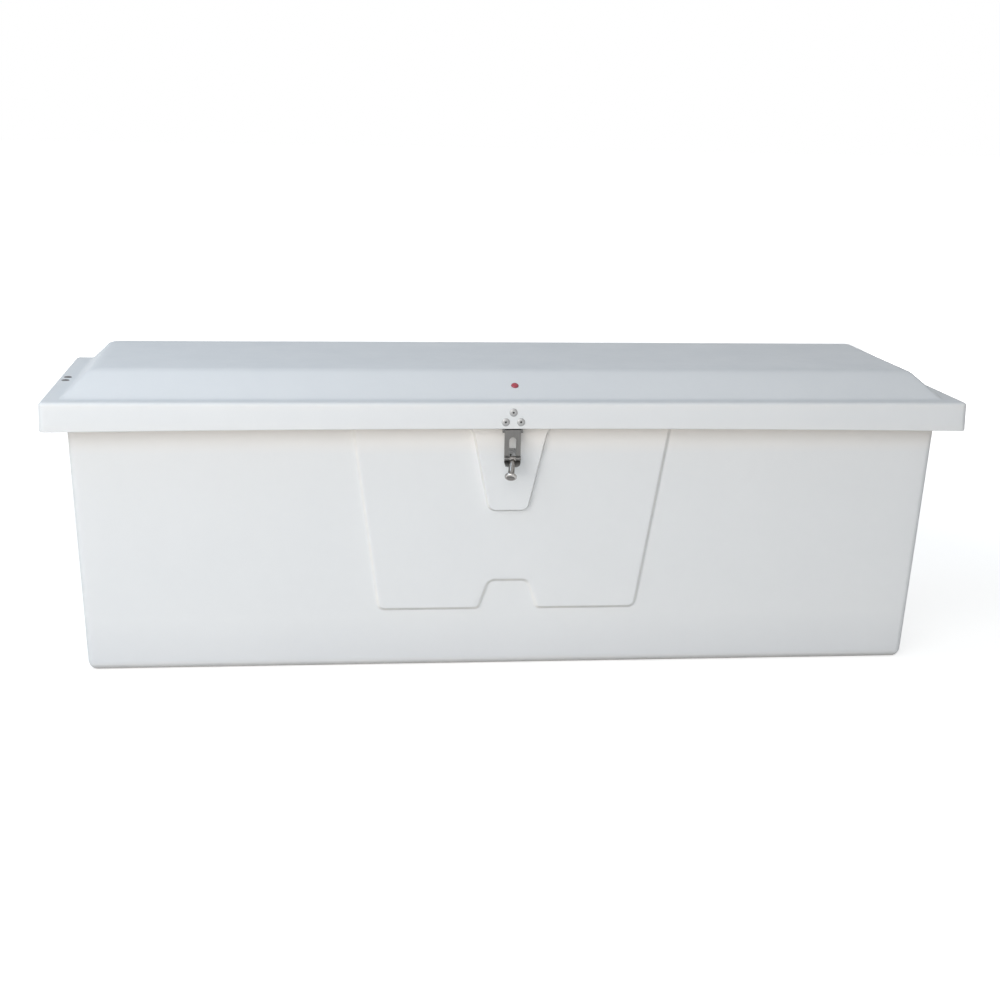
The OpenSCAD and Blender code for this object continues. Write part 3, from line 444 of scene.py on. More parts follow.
def rivet_metal(name, dark, light, rubbed):
    """Rivets and pins, a little pitted and rubbed brighter at the rim."""
    material, tree, shader = new_material(name)
    tone = effect(tree, cloudy_tone, "Tone", scale=420.0, contrast=2.0)
    colour = mix_colour(tree, tone, dark, light)
    wear_and_light = effect(tree, edge_rub, "Rub", amount=0.7, break_scale=300.0)
    colour = mix_colour(tree, wear_and_light, colour, rubbed)
    pits = effect(tree, surface_grain, "Height", fine_scale=1600.0, fine_part=0.7,
                  ripple_scale=300.0, ripple_part=0.3)
    set_inputs(tree, shader, base_color=colour, metallic=0.85,
               roughness=remap(tree, tone, 0.0, 1.0, 0.34, 0.50), normal=bump(tree, pits, 0.00008))
    return material


def mandrel_steel():
    """Broken rivet mandrel, near black: painted shade down the rivet's bore."""
    material, tree, shader = new_material("mandrel_steel")
    tone = effect(tree, cloudy_tone, "Tone", scale=900.0, contrast=2.0)
    colour = mix_colour(tree, tone, (0.008, 0.008, 0.008, 1.0), (0.030, 0.028, 0.026, 1.0))
    set_inputs(tree, shader, base_color=colour, roughness=remap(tree, tone, 0.0, 1.0, 0.55, 0.75))
    return material


def black_enamel():
    """Painted strut tube: smooth black with a fine orange peel and dust on top."""
    material, tree, shader = new_material("black_enamel")
    tone = effect(tree, cloudy_tone, "Tone", scale=30.0, contrast=1.5)
    colour = mix_colour(tree, tone, (0.012, 0.012, 0.013, 1.0), (0.024, 0.024, 0.025, 1.0))
    dust = effect(tree, settled_dust, "Dust", amount=0.25, patch_scale=60.0)
    colour = mix_colour(tree, dust, colour, (0.16, 0.15, 0.14, 1.0))
    peel = effect(tree, surface_grain, "Height", fine_scale=700.0, fine_part=0.6,
                  ripple_scale=60.0, ripple_part=0.4)
    set_inputs(tree, shader, base_color=colour, roughness=remap(tree, tone, 0.0, 1.0, 0.20, 0.34),
               normal=bump(tree, peel, 0.00008), coat_weight=0.3)
    return material


def black_nylon():
    """Moulded nylon sockets: grainy, low gloss."""
    material, tree, shader = new_material("black_nylon")
    tone = effect(tree, cloudy_tone, "Tone", scale=80.0, contrast=1.5)
    colour = mix_colour(tree, tone, (0.017, 0.017, 0.018, 1.0), (0.034, 0.034, 0.035, 1.0))
    grain = effect(tree, surface_grain, "Height", fine_scale=1900.0, fine_part=0.8,
                   ripple_scale=90.0, ripple_part=0.2)
    set_inputs(tree, shader, base_color=colour, roughness=remap(tree, tone, 0.0, 1.0, 0.46, 0.60),
               normal=bump(tree, grain, 0.0001))
    return material


def foam_rubber():
    """Closed-cell foam strip: soft black with open cells on its skin."""
    material, tree, shader = new_material("foam_rubber")
    tone = effect(tree, cloudy_tone, "Tone", scale=40.0, contrast=1.6)
    colour = mix_colour(tree, tone, (0.022, 0.022, 0.023, 1.0), (0.050, 0.050, 0.051, 1.0))
    cells = add(tree, "ShaderNodeTexVoronoi", {"Vector": piece_place(tree), "Scale": 900.0})
    skin = effect(tree, surface_grain, "Height", fine_scale=1200.0, fine_part=0.5,
                  ripple_scale=70.0, ripple_part=0.5)
    height = maths(tree, "ADD", cells.outputs["Distance"], skin)
    set_inputs(tree, shader, base_color=colour, roughness=remap(tree, tone, 0.0, 1.0, 0.78, 0.92),
               normal=bump(tree, height, 0.0003))
    return material


def red_plastic():
    """Glossy red button, darker towards its rim as painted shade."""
    material, tree, shader = new_material("red_plastic")
    tone = effect(tree, cloudy_tone, "Tone", scale=260.0, contrast=1.6)
    colour = mix_colour(tree, tone, (0.36, 0.022, 0.045, 1.0), (0.46, 0.036, 0.060, 1.0))
    # Darker rim: painted shade on the button's falling edge.
    rim_shade = effect(tree, edge_rub, "Rub", amount=0.9, break_scale=500.0)
    colour = mix_colour(tree, rim_shade, colour, (0.13, 0.008, 0.030, 1.0))
    set_inputs(tree, shader, base_color=colour, roughness=remap(tree, tone, 0.0, 1.0, 0.18, 0.28),
               coat_weight=0.4, coat_roughness=0.08)
    return material


FINISH = {
    "tub_gelcoat": gelcoat("tub_gelcoat", (0.765, 0.772, 0.775, 1.0), (0.810, 0.812, 0.808, 1.0),
                           on_tub=True),
    # The lid's gelcoat is a darker copy of the tub's: painted shade over the whole lid.
    "lid_gelcoat": gelcoat("lid_gelcoat", (0.735, 0.742, 0.745, 1.0), (0.778, 0.780, 0.776, 1.0)),
    "inside": laminate_inside(),
    "sheet_steel": brushed_stainless("strap_stainless"),
    "hinge_steel": brushed_stainless("hinge_stainless", along_x=0.02, along_z=1.0),
    "polished": polished_steel(),
    "rivet": rivet_metal("rivet_metal", (0.27, 0.27, 0.27, 1.0), (0.36, 0.36, 0.357, 1.0),
                         (0.44, 0.44, 0.435, 1.0)),
    # A dark copy of the rivet metal for the rivets on the lid's end ledges: painted shade.
    "dull_rivet": rivet_metal("dull_rivet_metal", (0.045, 0.045, 0.048, 1.0), (0.095, 0.093, 0.090, 1.0),
                              (0.30, 0.30, 0.30, 1.0)),
    # A light copy of the rivet metal for the pull's pivot pin: painted highlight.
    "bright": rivet_metal("bright_steel", (0.58, 0.58, 0.575, 1.0), (0.70, 0.70, 0.69, 1.0),
                          (0.78, 0.78, 0.77, 1.0)),
    "mandrel": mandrel_steel(),
    "enamel": black_enamel(),
    "nylon": black_nylon(),
    "foam": foam_rubber(),
    "red": red_plastic(),
}


# Mesh helpers
SHARP_FROM = math.radians(38)
CORNER_STEPS = 10


def spread(low, high, count):
    """Evenly spaced values from low up to, but without, high."""
    return [low + (high - low) * i / count for i in range(count)]


def stretches(starts, end):
    """Values through stretches given as (start, count), each up to the next start, the last up to end."""
    stops = [start for start, _ in starts[1:]] + [end]
    values = []
    for (start, count), stop in zip(starts, stops):
        values += spread(start, stop, count)
    return values + [end]


def smooth(low, high, value):
    """Rises smoothly from 0 at low to 1 at high."""
    part = min(max((value - low) / (high - low), 0.0), 1.0)
    return part * part * (3.0 - 2.0 * part)


def quarter_turn(steps):
    """Angles from 0 to 90 degrees."""
    return [math.radians(90.0 * i / steps) for i in range(steps + 1)]


def make_piece(name, mesh_build, finishes, body, node):
    """Turns a bmesh into a piece that rides on a body and stands for the given node."""
    mesh = bpy.data.meshes.new(name)
    mesh_build.to_mesh(mesh)
    mesh_build.free()
    for finish in finishes:
        mesh.materials.append(FINISH[finish])
    mesh.polygons.foreach_set("use_smooth", [True] * len(mesh.polygons))
    mesh.set_sharp_from_angle(angle=SHARP_FROM)
    piece = bpy.data.objects.new(name, mesh)
    bpy.context.scene.collection.objects.link(piece)
    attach(piece, body)
    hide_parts(node)


def rounded_loop(half_x, front, rear, radius, z, front_xs, rear_count, side_count):
    """Points round a rectangle with round corners, from its front left, anticlockwise from above."""
    def corner(x, y, start):
        angles = [math.radians(start + 90.0 * i / CORNER_STEPS) for i in range(1, CORNER_STEPS)]
        return [Vector((x + radius * math.cos(a), y + radius * math.sin(a), z)) for a in angles]

    reach = half_x - radius
    low, high = front + radius, rear - radius
    sides = spread(low, high, side_count) + [high]
    rears = spread(reach, -reach, rear_count) + [-reach]
    points = [Vector((x, front, z)) for x in front_xs]
    points += corner(reach, low, -90.0)
    points += [Vector((half_x, y, z)) for y in sides]
    points += corner(reach, high, 0.0)
    points += [Vector((x, rear, z)) for x in rears]
    points += corner(-reach, high, 90.0)
    points += [Vector((-half_x, y, z)) for y in reversed(sides)]
    points += corner(-reach, low, 180.0)
    return points


def skin_rings(rings):
    """Closed skin through rings of (points, edge values, material index), with flat ends."""
    build = bmesh.new()
    edge_layer = build.verts.layers.float.new("edge")
    rows = []
    for points, edges, _ in rings:
        row = [build.verts.new(point) for point in points]
        for vert, edge in zip(row, edges):
            vert[edge_layer] = edge
        rows.append(row)
    count = len(rows[0])
    for k in range(len(rows) - 1):
        low, high = rows[k], rows[k + 1]
        for i in range(count):
            j = (i + 1) % count
            face = build.faces.new((low[i], low[j], high[j], high[i]))
            face.material_index = rings[k + 1][2]
    first = build.faces.new(list(reversed(rows[0])))
    first.material_index = rings[0][2]
    last = build.faces.new(rows[-1])
    last.material_index = rings[-1][2]
    return build


# Raised panel and boss of the front wall
def eased(corners, steps=8):
    """Outline through (x, z, cut) corners, each rounded from its cut length before to after it."""
    outline = []
    for i, (x, z, cut) in enumerate(corners):
        here = Vector((x, z))
        before = Vector(corners[i - 1][:2])
        after = Vector(corners[(i + 1) % len(corners)][:2])
        if cut == 0.0:
            outline.append(here)
            continue
        start = here + (before - here).normalized() * cut
        end = here + (after - here).normalized() * cut
        for k in range(steps + 1):
            u = k / steps
            outline.append(start * (1 - u) ** 2 + here * (2 * u * (1 - u)) + end * u ** 2)
    return outline


def panel_outline():
    top_half = PANEL_HALF + PANEL_FLARE * (relief_top - PANEL_FOOT)
    notch_top = PANEL_FOOT + NOTCH_H
    right = [(NOTCH_HALF - NOTCH_TAPER, notch_top, NOTCH_CUT), (NOTCH_HALF, PANEL_FOOT, NOTCH_CUT),
             (PANEL_HALF, PANEL_FOOT, PANEL_CUT), (top_half, relief_top, 0.0)]
    left = [(-x, z, cut) for x, z, cut in reversed(right)]
    return eased(left + right)


def boss_outline():
    neck_half = BOSS_HALF + BOSS_FLARE * (BOSS_NECK - BOSS_FOOT)
    top_half = neck_half + BOSS_NECK_FLARE * (relief_top - BOSS_NECK)
    right = [(BOSS_HALF, BOSS_FOOT, BOSS_CUT), (neck_half, BOSS_NECK, BOSS_NECK_CUT),
             (top_half, relief_top, 0.0)]
    left = [(-x, z, cut) for x, z, cut in reversed(right)]
    return [point + Vector((BOSS_X, 0.0)) for point in eased(left + right)]


PANEL = panel_outline()
BOSS = boss_outline()


def depth_inside(outline, x, z):
    """Distance from a point to an outline, positive inside it."""
    nearest = 1.0
    inside = False
    ax, az = outline[-1]
    for bx, bz in outline:
        dx, dz = bx - ax, bz - az
        along = ((x - ax) * dx + (z - az) * dz) / (dx * dx + dz * dz)
        along = min(max(along, 0.0), 1.0)
        nearest = min(nearest, math.hypot(x - ax - along * dx, z - az - along * dz))
        if (az > z) != (bz > z) and x < ax + (z - az) * dx / dz:
            inside = not inside
        ax, az = bx, bz
    return nearest if inside else -nearest


def relief(x, z, inset):
    """How far the front wall stands out at a point, and how near that is to a moulded edge."""
    panel = smooth(PANEL_EDGE_FROM, PANEL_EDGE_TO, depth_inside(PANEL, x, z) - inset)
    if panel == 0.0:
        return 0.0, 0.0
    boss = smooth(BOSS_EDGE_FROM, BOSS_EDGE_TO, depth_inside(BOSS, x, z) - inset)
    edge = max(4.0 * panel * (1.0 - panel), 4.0 * boss * (1.0 - boss))
    return PANEL_RAISE * panel + BOSS_RAISE * boss, edge


# How far the close columns and rings reach before and after each edge
NOTCH_BAND = (0.008, 0.010)
BOSS_BAND = (0.014, 0.004)
PANEL_BAND = (0.030, 0.005)
PANEL_FOOT_BAND = (0.004, 0.032)
NOTCH_TOP_BAND = (0.014, 0.012)
BOSS_FOOT_BAND = (0.004, 0.022)
NECK_BAND = 0.010
BOSS_COLUMNS_START = 0.110


def between(value, low, high, at_low, at_high):
    part = min(max((value - low) / (high - low), 0.0), 1.0)
    return at_low + (at_high - at_low) * part


def front_columns(z, reach):
    """Places across the front wall, close together along the edges of the panel, notch and boss."""
    z = min(z, flange_low)
    notch_top = PANEL_FOOT + NOTCH_H
    notch = between(z, PANEL_FOOT, notch_top, NOTCH_HALF, NOTCH_HALF - NOTCH_TAPER)
    boss = between(z, PANEL_FOOT, BOSS_FOOT, BOSS_COLUMNS_START, BOSS_HALF)
    boss += BOSS_FLARE * max(min(z, BOSS_NECK) - BOSS_FOOT, 0.0)
    boss += BOSS_NECK_FLARE * max(z - BOSS_NECK, 0.0)
    panel = PANEL_HALF + PANEL_FLARE * max(z - PANEL_FOOT, 0.0)
    columns = []
    for side in (-1.0, 1.0):
        edge = boss + side * BOSS_X
        boss_from = edge - BOSS_BAND[0]
        notch_from = min(notch - NOTCH_BAND[0], 0.3 * boss_from)
        notch_to = min(notch + NOTCH_BAND[1], 0.8 * boss_from)
        half = stretches([(0.0, 3), (notch_from, 10), (notch_to, 3),
                          (boss_from, 18), (edge + BOSS_BAND[1], 10),
                          (panel - PANEL_BAND[0], 16), (panel + PANEL_BAND[1], 20)], reach)
        columns.append([side * x for x in half])
    return list(reversed(columns[0][1:])) + columns[1]


# Tub
def tub_ring(half_x, front, rear, radius, z, inset=None, edge=0.0, finish=0):
    """One ring of the tub; with an inset, its front follows the panel and boss."""
    columns = front_columns(z, half_x - radius)
    points = rounded_loop(half_x, front, rear, radius, z, columns, rear_count=24, side_count=14)
    edges = [edge] * len(points)
    if inset is not None:
        for i in range(len(columns)):
            out, near = relief(points[i].x, z, inset)
            if inset > 0.0:
                out *= smooth(hollow_top + HOLLOW_FADE, hollow_top - HOLLOW_FADE, z)
            points[i].y -= out
            edges[i] = max(edge, near)
    return points, edges, finish


def wall_ring(z, back, inset=None, edge=0.0, finish=0):
    """One ring of the tub's leaning walls, set back square to the mouth."""
    radius = max(TUB_CORNER_R - back, LEAST_CORNER_R)
    half_y = tub_y(z) - back
    return tub_ring(tub_x(z) - back, -half_y, half_y, radius, z, inset, edge, finish)


def lip_ring(back, z, edge=0.0):
    """One ring of the rim's lip, set in from its outer face."""
    radius = max(LIP_CORNER_R - back, LEAST_CORNER_R)
    return tub_ring(tub_high.x - back, tub_low.y + back, tub_high.y - back, radius, z, None, edge)


def wall_heights(low, high):
    """Heights of the wall's rings, close together along the edges of the panel, notch and boss."""
    notch_top = PANEL_FOOT + NOTCH_H
    return stretches([(low, 7), (PANEL_FOOT - PANEL_FOOT_BAND[0], 18), (PANEL_FOOT + PANEL_FOOT_BAND[1], 7),
                      (notch_top - NOTCH_TOP_BAND[0], 12), (notch_top + NOTCH_TOP_BAND[1], 9),
                      (BOSS_FOOT - BOSS_FOOT_BAND[0], 20), (BOSS_FOOT + BOSS_FOOT_BAND[1], 8),
                      (BOSS_NECK - NECK_BAND, 14)], high)


def make_tub():
    """Rings from under the floor up the walls, round the lip, over the rim and down to the floor inside."""
    angles = quarter_turn(8)
    rim_r = 2.0 * LIP_EDGE_R
    inner_r = TUB_EDGE_R - TUB_T
    lip_low = rim_h - LIP_H
    rings = [wall_ring(0.0, TUB_EDGE_R + FLOOR_STEP)]
    for angle in angles:
        z = TUB_EDGE_R * (1.0 - math.cos(angle))
        rings.append(wall_ring(z, TUB_EDGE_R * (1.0 - math.sin(angle)), edge=0.35 * math.sin(2.0 * angle)))
    rings += [wall_ring(z, 0.0, inset=0.0) for z in wall_heights(TUB_EDGE_R + WALL_STEP, flange_low)]
    rings += [lip_ring(TUB_T, flange_low), lip_ring(TUB_T, lip_low + LIP_EDGE_R)]
    rings += [lip_ring(TUB_T - LIP_EDGE_R, lip_low, edge=0.3), lip_ring(LIP_EDGE_R, lip_low, edge=0.3)]
    rings += [lip_ring(0.0, lip_low + LIP_EDGE_R, edge=0.3), lip_ring(0.0, rim_h - rim_r, edge=0.3)]
    for angle in angles[1:]:
        back = rim_r * (1.0 - math.cos(angle))
        rings.append(lip_ring(back, rim_h - rim_r * (1.0 - math.sin(angle)), edge=0.6))
    rings.append(wall_ring(rim_h, TUB_T - rim_r, edge=0.6))
    for angle in angles[1:]:
        drop = rim_r * (1.0 - math.cos(angle))
        back = TUB_T - rim_r * (1.0 - math.sin(angle))
        rings.append(wall_ring(rim_h - drop, back, edge=0.3, finish=1))
    inner = wall_heights(TUB_T + inner_r, rim_h - 2.0 * rim_r)
    rings += [wall_ring(z, TUB_T, inset=0.6 * TUB_T, finish=1) for z in reversed(inner)]
    for angle in reversed(angles[:-1]):
        back = TUB_T + inner_r * (1.0 - math.sin(angle))
        rings.append(wall_ring(TUB_T + inner_r * (1.0 - math.cos(angle)), back, finish=1))
    rings.append(wall_ring(TUB_T, TUB_EDGE_R + WALL_STEP, finish=1))
    make_piece("tub_moulding", skin_rings(rings), ["tub_gelcoat", "inside"], "tub", "tub_shell")


# Lid
LID_COLUMNS = 64


def lid_ring(half_x, front, rear, radius, z, arch=0.0, edge=0.0, finish=0):
    """One ring of the lid; arch is how far its front is lifted at mid length."""
    reach = half_x - radius
    columns = spread(-reach, reach, LID_COLUMNS) + [reach]
    points = rounded_loop(half_x, front, rear, radius, z, columns, rear_count=LID_COLUMNS, side_count=16)
    for point in points[:len(columns)]:
        point.z += arch * (1.0 - (point.x / reach) ** 2)
    return points, [edge] * len(points), finish


def skirt_ring(back, z, arch=0.0, edge=0.0, finish=0):
    """One ring of the lid's skirt or ledge, set in from the outer face."""
    radius = LID_CORNER_R - min(back, LID_T + LID_EDGE_R)
    front = lid_low.y + back
    rear = lid_high.y - back
    return lid_ring(lid_high.x - back, front, rear, radius, z, arch, edge, finish)


def dome_ring(rise, inward, drop, finish, edge=0.0):
    """One ring of the dome: rise is its part of the slope, inward a step towards the middle."""
    half_x = lid_high.x - LEDGE_END - DOME_END_RUN * rise - inward
    front = lid_low.y + LEDGE_SIDE + DOME_FRONT_RUN * rise + inward
    rear = lid_high.y - LEDGE_SIDE - DOME_REAR_RUN * rise - inward
    z = ledge_z + DOME_H * rise - drop
    return lid_ring(half_x, front, rear, DOME_CORNER_R, z, 0.0, edge, finish)


def dome_rings(inward, drop, finish):
    """Rings from the ledge over the dome's soft foot, up its slopes and over its soft upper edge."""
    steps = 6
    foot_rise = DOME_FOOT_R / DOME_H
    edge_rise = 1.0 - 0.5 * DOME_EDGE_R / DOME_H
    rings = []
    for k in range(steps + 1):
        u = k / steps
        step = inward - (1.0 - u) ** 2 * DOME_FOOT_R
        rings.append(dome_ring(u * u * foot_rise, step, drop, finish))
    for rise in spread(foot_rise, edge_rise, 4)[1:]:
        rings.append(dome_ring(rise, inward, drop, finish))
    for k in range(2 * steps + 1):
        u = k / (2 * steps)
        rise = (1.0 - u) ** 2 * edge_rise + 1.0 - (1.0 - u) ** 2
        step = inward + u * u * DOME_EDGE_R
        rings.append(dome_ring(rise, step, drop, finish, edge=0.35 * u * (1.0 - u)))
    rings.append(dome_ring(1.0, inward + DOME_EDGE_R + DOME_TOP_STEP, drop, finish))
    return rings


def make_lid():
    """Rings from inside the dome, down the skirt's inner face, round its edge and up over the dome."""
    angles = quarter_turn(6)
    inner_foot = 0.4 * LID_T
    rings = list(reversed(dome_rings(inner_foot, LID_T, 1)))
    rings.append(skirt_ring(LID_T + 0.5 * LID_EDGE_R, ledge_z - LID_T, finish=1))
    rings.append(skirt_ring(LID_T, ledge_z - LID_T - 0.5 * LID_EDGE_R, finish=1))
    rings.append(skirt_ring(LID_T, skirt_z + ARCH_FADE, 0.5 * SKIRT_ARCH, finish=1))
    for angle in angles:
        back = LID_T - SKIRT_EDGE_R * (1.0 - math.cos(angle))
        z = skirt_z + SKIRT_EDGE_R * (1.0 - math.sin(angle))
        rings.append(skirt_ring(back, z, SKIRT_ARCH, edge=0.2))
    for angle in reversed(angles):
        back = SKIRT_EDGE_R * (1.0 - math.cos(angle))
        z = skirt_z + SKIRT_EDGE_R * (1.0 - math.sin(angle))
        rings.append(skirt_ring(back, z, SKIRT_ARCH, edge=0.2))
    rings.append(skirt_ring(0.0, skirt_z + ARCH_FADE, 0.5 * SKIRT_ARCH))
    rings.append(skirt_ring(0.0, skirt_z + 2.0 * ARCH_FADE))
    for angle in angles:
        back = LID_EDGE_R * (1.0 - math.cos(angle))
        rings.append(skirt_ring(back, ledge_z - LID_EDGE_R * (1.0 - math.sin(angle)), edge=0.3))
    rings += dome_rings(0.0, 0.0, 0)
    make_piece("lid_moulding", skin_rings(rings), ["lid_gelcoat", "inside"], "lid", "lid_shell")


# Turned pieces
def turn(build, profile, place, out, count):
    """Adds a turned shape; profile rows are radius, distance along out, edge value, material index."""
    edge_layer = build.verts.layers.float.get("edge") or build.verts.layers.float.new("edge")
    across = out.orthogonal().normalized()
    aside = out.cross(across)
    rows = []
    for radius, along, edge, _ in profile:
        centre = place + out * along
        angles = [2.0 * math.pi * i / count for i in range(count)] if radius > 0.0 else [0.0]
        ways = [math.cos(a) * across + math.sin(a) * aside for a in angles]
        row = [build.verts.new(centre + radius * way) for way in ways]
        for vert in row:
            vert[edge_layer] = edge
        rows.append(row)
    for k in range(len(rows) - 1):
        near, far = rows[k], rows[k + 1]
        for i in range(count):
            j = (i + 1) % count
            corners = [near[i % len(near)], near[j % len(near)], far[j % len(far)], far[i % len(far)]]
            face = build.faces.new(list(dict.fromkeys(corners)))
            face.material_index = profile[k + 1][3]


def soften(low, high, along_low, along_high, steps=5):
    """Quarter round between two profile places, as rows of (radius, distance)."""
    out = high - low
    rise = along_low - along_high
    return [(low + out * math.sin(a), along_high + rise * math.cos(a)) for a in quarter_turn(steps)]


# Rivets, on the places of the CAD rivets
def islands(node):
    """The separate solids of a CAD node, each as a list of points."""
    piece = frame["nodes"][node]
    build = bmesh.new()
    build.from_mesh(piece.data)
    bmesh.ops.remove_doubles(build, verts=build.verts, dist=1e-6)
    seen = set()
    groups = []
    for start in build.verts:
        if start in seen:
            continue
        seen.add(start)
        front = [start]
        group = []
        while front:
            vert = front.pop()
            group.append(piece.matrix_world @ vert.co)
            for link in vert.link_edges:
                other = link.other_vert(vert)
                if other not in seen:
                    seen.add(other)
                    front.append(other)
        groups.append(group)
    build.free()
    return groups


def measured(points, out, across):
    """Middle of the points square to out, and how low and high they reach along it."""
    centre = Vector()
    for way in (across, out.cross(across)):
        wide = [point.dot(way) for point in points]
        centre += 0.5 * (min(wide) + max(wide)) * way
    along = [point.dot(out) for point in points]
    return centre, min(along), max(along)


def rivet_profile(length):
    """Rivet from the bottom of its mandrel bore, over the head, to the end of its tail."""
    head = RIVET_HEAD_H
    shank_end = head + RIVET_TAIL_H - length
    tail_end = head - length
    return [(0.0, 0.35 * head, 0.0, 1), (0.80 * RIVET_BORE_R, 0.40 * head, 0.0, 1),
            (RIVET_BORE_R, 0.70 * head, 0.0, 1), (1.25 * RIVET_BORE_R, head, 0.8, 0),
            (0.55 * RIVET_HEAD_R, 0.99 * head, 0.0, 0), (0.74 * RIVET_HEAD_R, 0.90 * head, 0.0, 0),
            (0.90 * RIVET_HEAD_R, 0.66 * head, 0.5, 0), (RIVET_HEAD_R, 0.28 * head, 0.9, 0),
            (RIVET_HEAD_R, 0.0, 0.3, 0), (RIVET_R, 0.0, 0.0, 0), (RIVET_R, shank_end, 0.0, 0),
            (RIVET_TAIL_R, shank_end, 0.0, 0), (RIVET_TAIL_R, 0.5 * (shank_end + tail_end), 0.0, 0),
            (0.7 * RIVET_TAIL_R, tail_end, 0.0, 0), (0.0, tail_end, 0.0, 1)]


def make_rivets(node, body, out_at, finish):
    """Turns a rivet on each place of a rivet node; out_at gives the way its head points."""
    build = bmesh.new()
    for points in islands(node):
        out = out_at(sum(points, Vector()) / len(points))
        centre, low, high = measured(points, out, out.orthogonal().normalized())
        turn(build, rivet_profile(high - low), centre + (high - RIVET_HEAD_H) * out, out, count=28)
    make_piece(node + "_turned", build, [finish, "mandrel"], body, node)


def make_all_rivets():
    side_tilt = math.atan(SIDE_LEAN / rim_h)
    end_tilt = math.atan(END_LEAN / rim_h)
    upward = Vector((0.0, 0.0, 1.0))
    rearward = Vector((0.0, 1.0, 0.0))
    boss_out = Vector((0.0, -math.cos(side_tilt), -math.sin(side_tilt)))

    def end_out(at):
        return Vector((math.copysign(math.cos(end_tilt), at.x), 0.0, -math.sin(end_tilt)))

    make_rivets("hinge_body_rivets", "tub", lambda at: rearward, "rivet")
    make_rivets("hinge_lid_rivets", "lid", lambda at: rearward, "rivet")
    make_rivets("hasp_rivets", "lid", lambda at: -rearward, "rivet")
    make_rivets("keeper_rivets", "tub", lambda at: boss_out, "rivet")
    make_rivets("lid_bracket_rivets", "lid", lambda at: upward, "dull_rivet")
    make_rivets("wall_bracket_rivets", "tub", end_out, "rivet")


# Pull and red button
def make_pull():
    """Eye on the pivot pin, a shank that widens downward, and a flat knob with round rims."""
    pivot = joint_at["pull_hinge"].copy()
    low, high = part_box("pull_pivot_pin")
    pivot.x = 0.5 * (low.x + high.x)
    sideways = Vector((1.0, 0.0, 0.0))
    down = Vector((math.sin(PULL_LEAN), -math.cos(PULL_LEAN) * math.sin(PULL_TILT),
                   -math.cos(PULL_LEAN) * math.cos(PULL_TILT)))
    build = bmesh.new()
    half = 0.5 * EYE_W
    eye = [(PIVOT_R, -half), (EYE_R - EYE_SOFT, -half), (EYE_R, EYE_SOFT - half), (EYE_R, half - EYE_SOFT)]
    eye += [(EYE_R - EYE_SOFT, half), (PIVOT_R, half), (PIVOT_R, -half)]
    turn(build, [(radius, along, 0.3, 0) for radius, along in eye], pivot, sideways, count=36)
    near_rim = 0.4 * KNOB_H
    far_rim = 0.44 * KNOB_H
    knob_end = SHANK_L + KNOB_H
    shank = [(0.8 * SHANK_R, 0.6 * EYE_R)]
    for part in (0.14, 0.35, 0.6, 0.8, 0.94):
        shank.append((SHANK_R + (SHANK_FOOT_R - SHANK_R) * part, SHANK_L * part))
    shank.append((SHANK_FOOT_R + SHANK_FILLET, SHANK_L))
    near_side = soften(KNOB_R - near_rim, KNOB_R, SHANK_L, SHANK_L + near_rim)
    far_side = soften(KNOB_R - far_rim, KNOB_R, knob_end, knob_end - far_rim)
    profile = [(radius, along, 0.3, 0) for radius, along in shank]
    profile += [(radius, along, 0.6, 0) for radius, along in near_side]
    profile += [(radius, along, 0.8, 0) for radius, along in reversed(far_side)]
    profile += [(0.66 * KNOB_R, knob_end - KNOB_DISH_RIM, 0.0, 0), (0.0, knob_end - KNOB_DISH, 0.0, 0)]
    turn(build, profile, pivot, down, count=40)
    make_piece("pull_turned", build, ["polished"], "pull", "pull_lever")


def make_button():
    """Red button: a low dome with its rim painted darker as shade, on the lid's front slope."""
    points = [point for island in islands("lid_button") for point in island]
    slope = math.atan(DOME_H / DOME_FRONT_RUN)
    out = Vector((0.0, -math.sin(slope), math.cos(slope)))
    centre, low, high = measured(points, out, Vector((1.0, 0.0, 0.0)))
    base = high - BUTTON_H
    stem = low - base
    profile = [(0.0, BUTTON_H, 0.0, 0), (0.30 * BUTTON_R, 0.98 * BUTTON_H, 0.0, 0),
               (0.60 * BUTTON_R, 0.88 * BUTTON_H, 0.1, 0), (0.80 * BUTTON_R, 0.70 * BUTTON_H, 0.3, 0),
               (0.93 * BUTTON_R, 0.44 * BUTTON_H, 0.7, 0), (BUTTON_R, 0.16 * BUTTON_H, 1.0, 0),
               (BUTTON_R, 0.0, 1.0, 0), (0.5 * BUTTON_R, 0.0, 0.0, 0), (0.5 * BUTTON_R, stem, 0.0, 0),
               (0.0, stem, 0.0, 0)]
    build = bmesh.new()
    turn(build, profile, centre + base * out, out, count=36)
    make_piece("button_turned", build, ["red"], "lid", "lid_button")


# Foam seal
def seal_path(front):
    """Middle line of the foam along the front or rear of the rim, up to the gaps for the brackets."""
    half_x = seal_high.x - 0.5 * SEAL_W
    edge = seal_low.y + 0.5 * SEAL_W if front else seal_high.y - 0.5 * SEAL_W
    inward = 1.0 if front else -1.0
    stop = STRUT_Y - inward * 0.5 * SEAL_CUT
    right = [Vector((half_x, y)) for y in spread(stop, edge + inward * SEAL_CORNER_R, 10)]
    for angle in quarter_turn(8):
        right.append(Vector((half_x - SEAL_CORNER_R * (1.0 - math.cos(angle)),
                             edge + inward * SEAL_CORNER_R * (1.0 - math.sin(angle)))))
    reach = half_x - SEAL_CORNER_R
    straight = [Vector((x, edge)) for x in spread(reach, -reach, 60)[1:]]
    left = [Vector((-point.x, point.y)) for point in reversed(right)]
    return right + straight + left


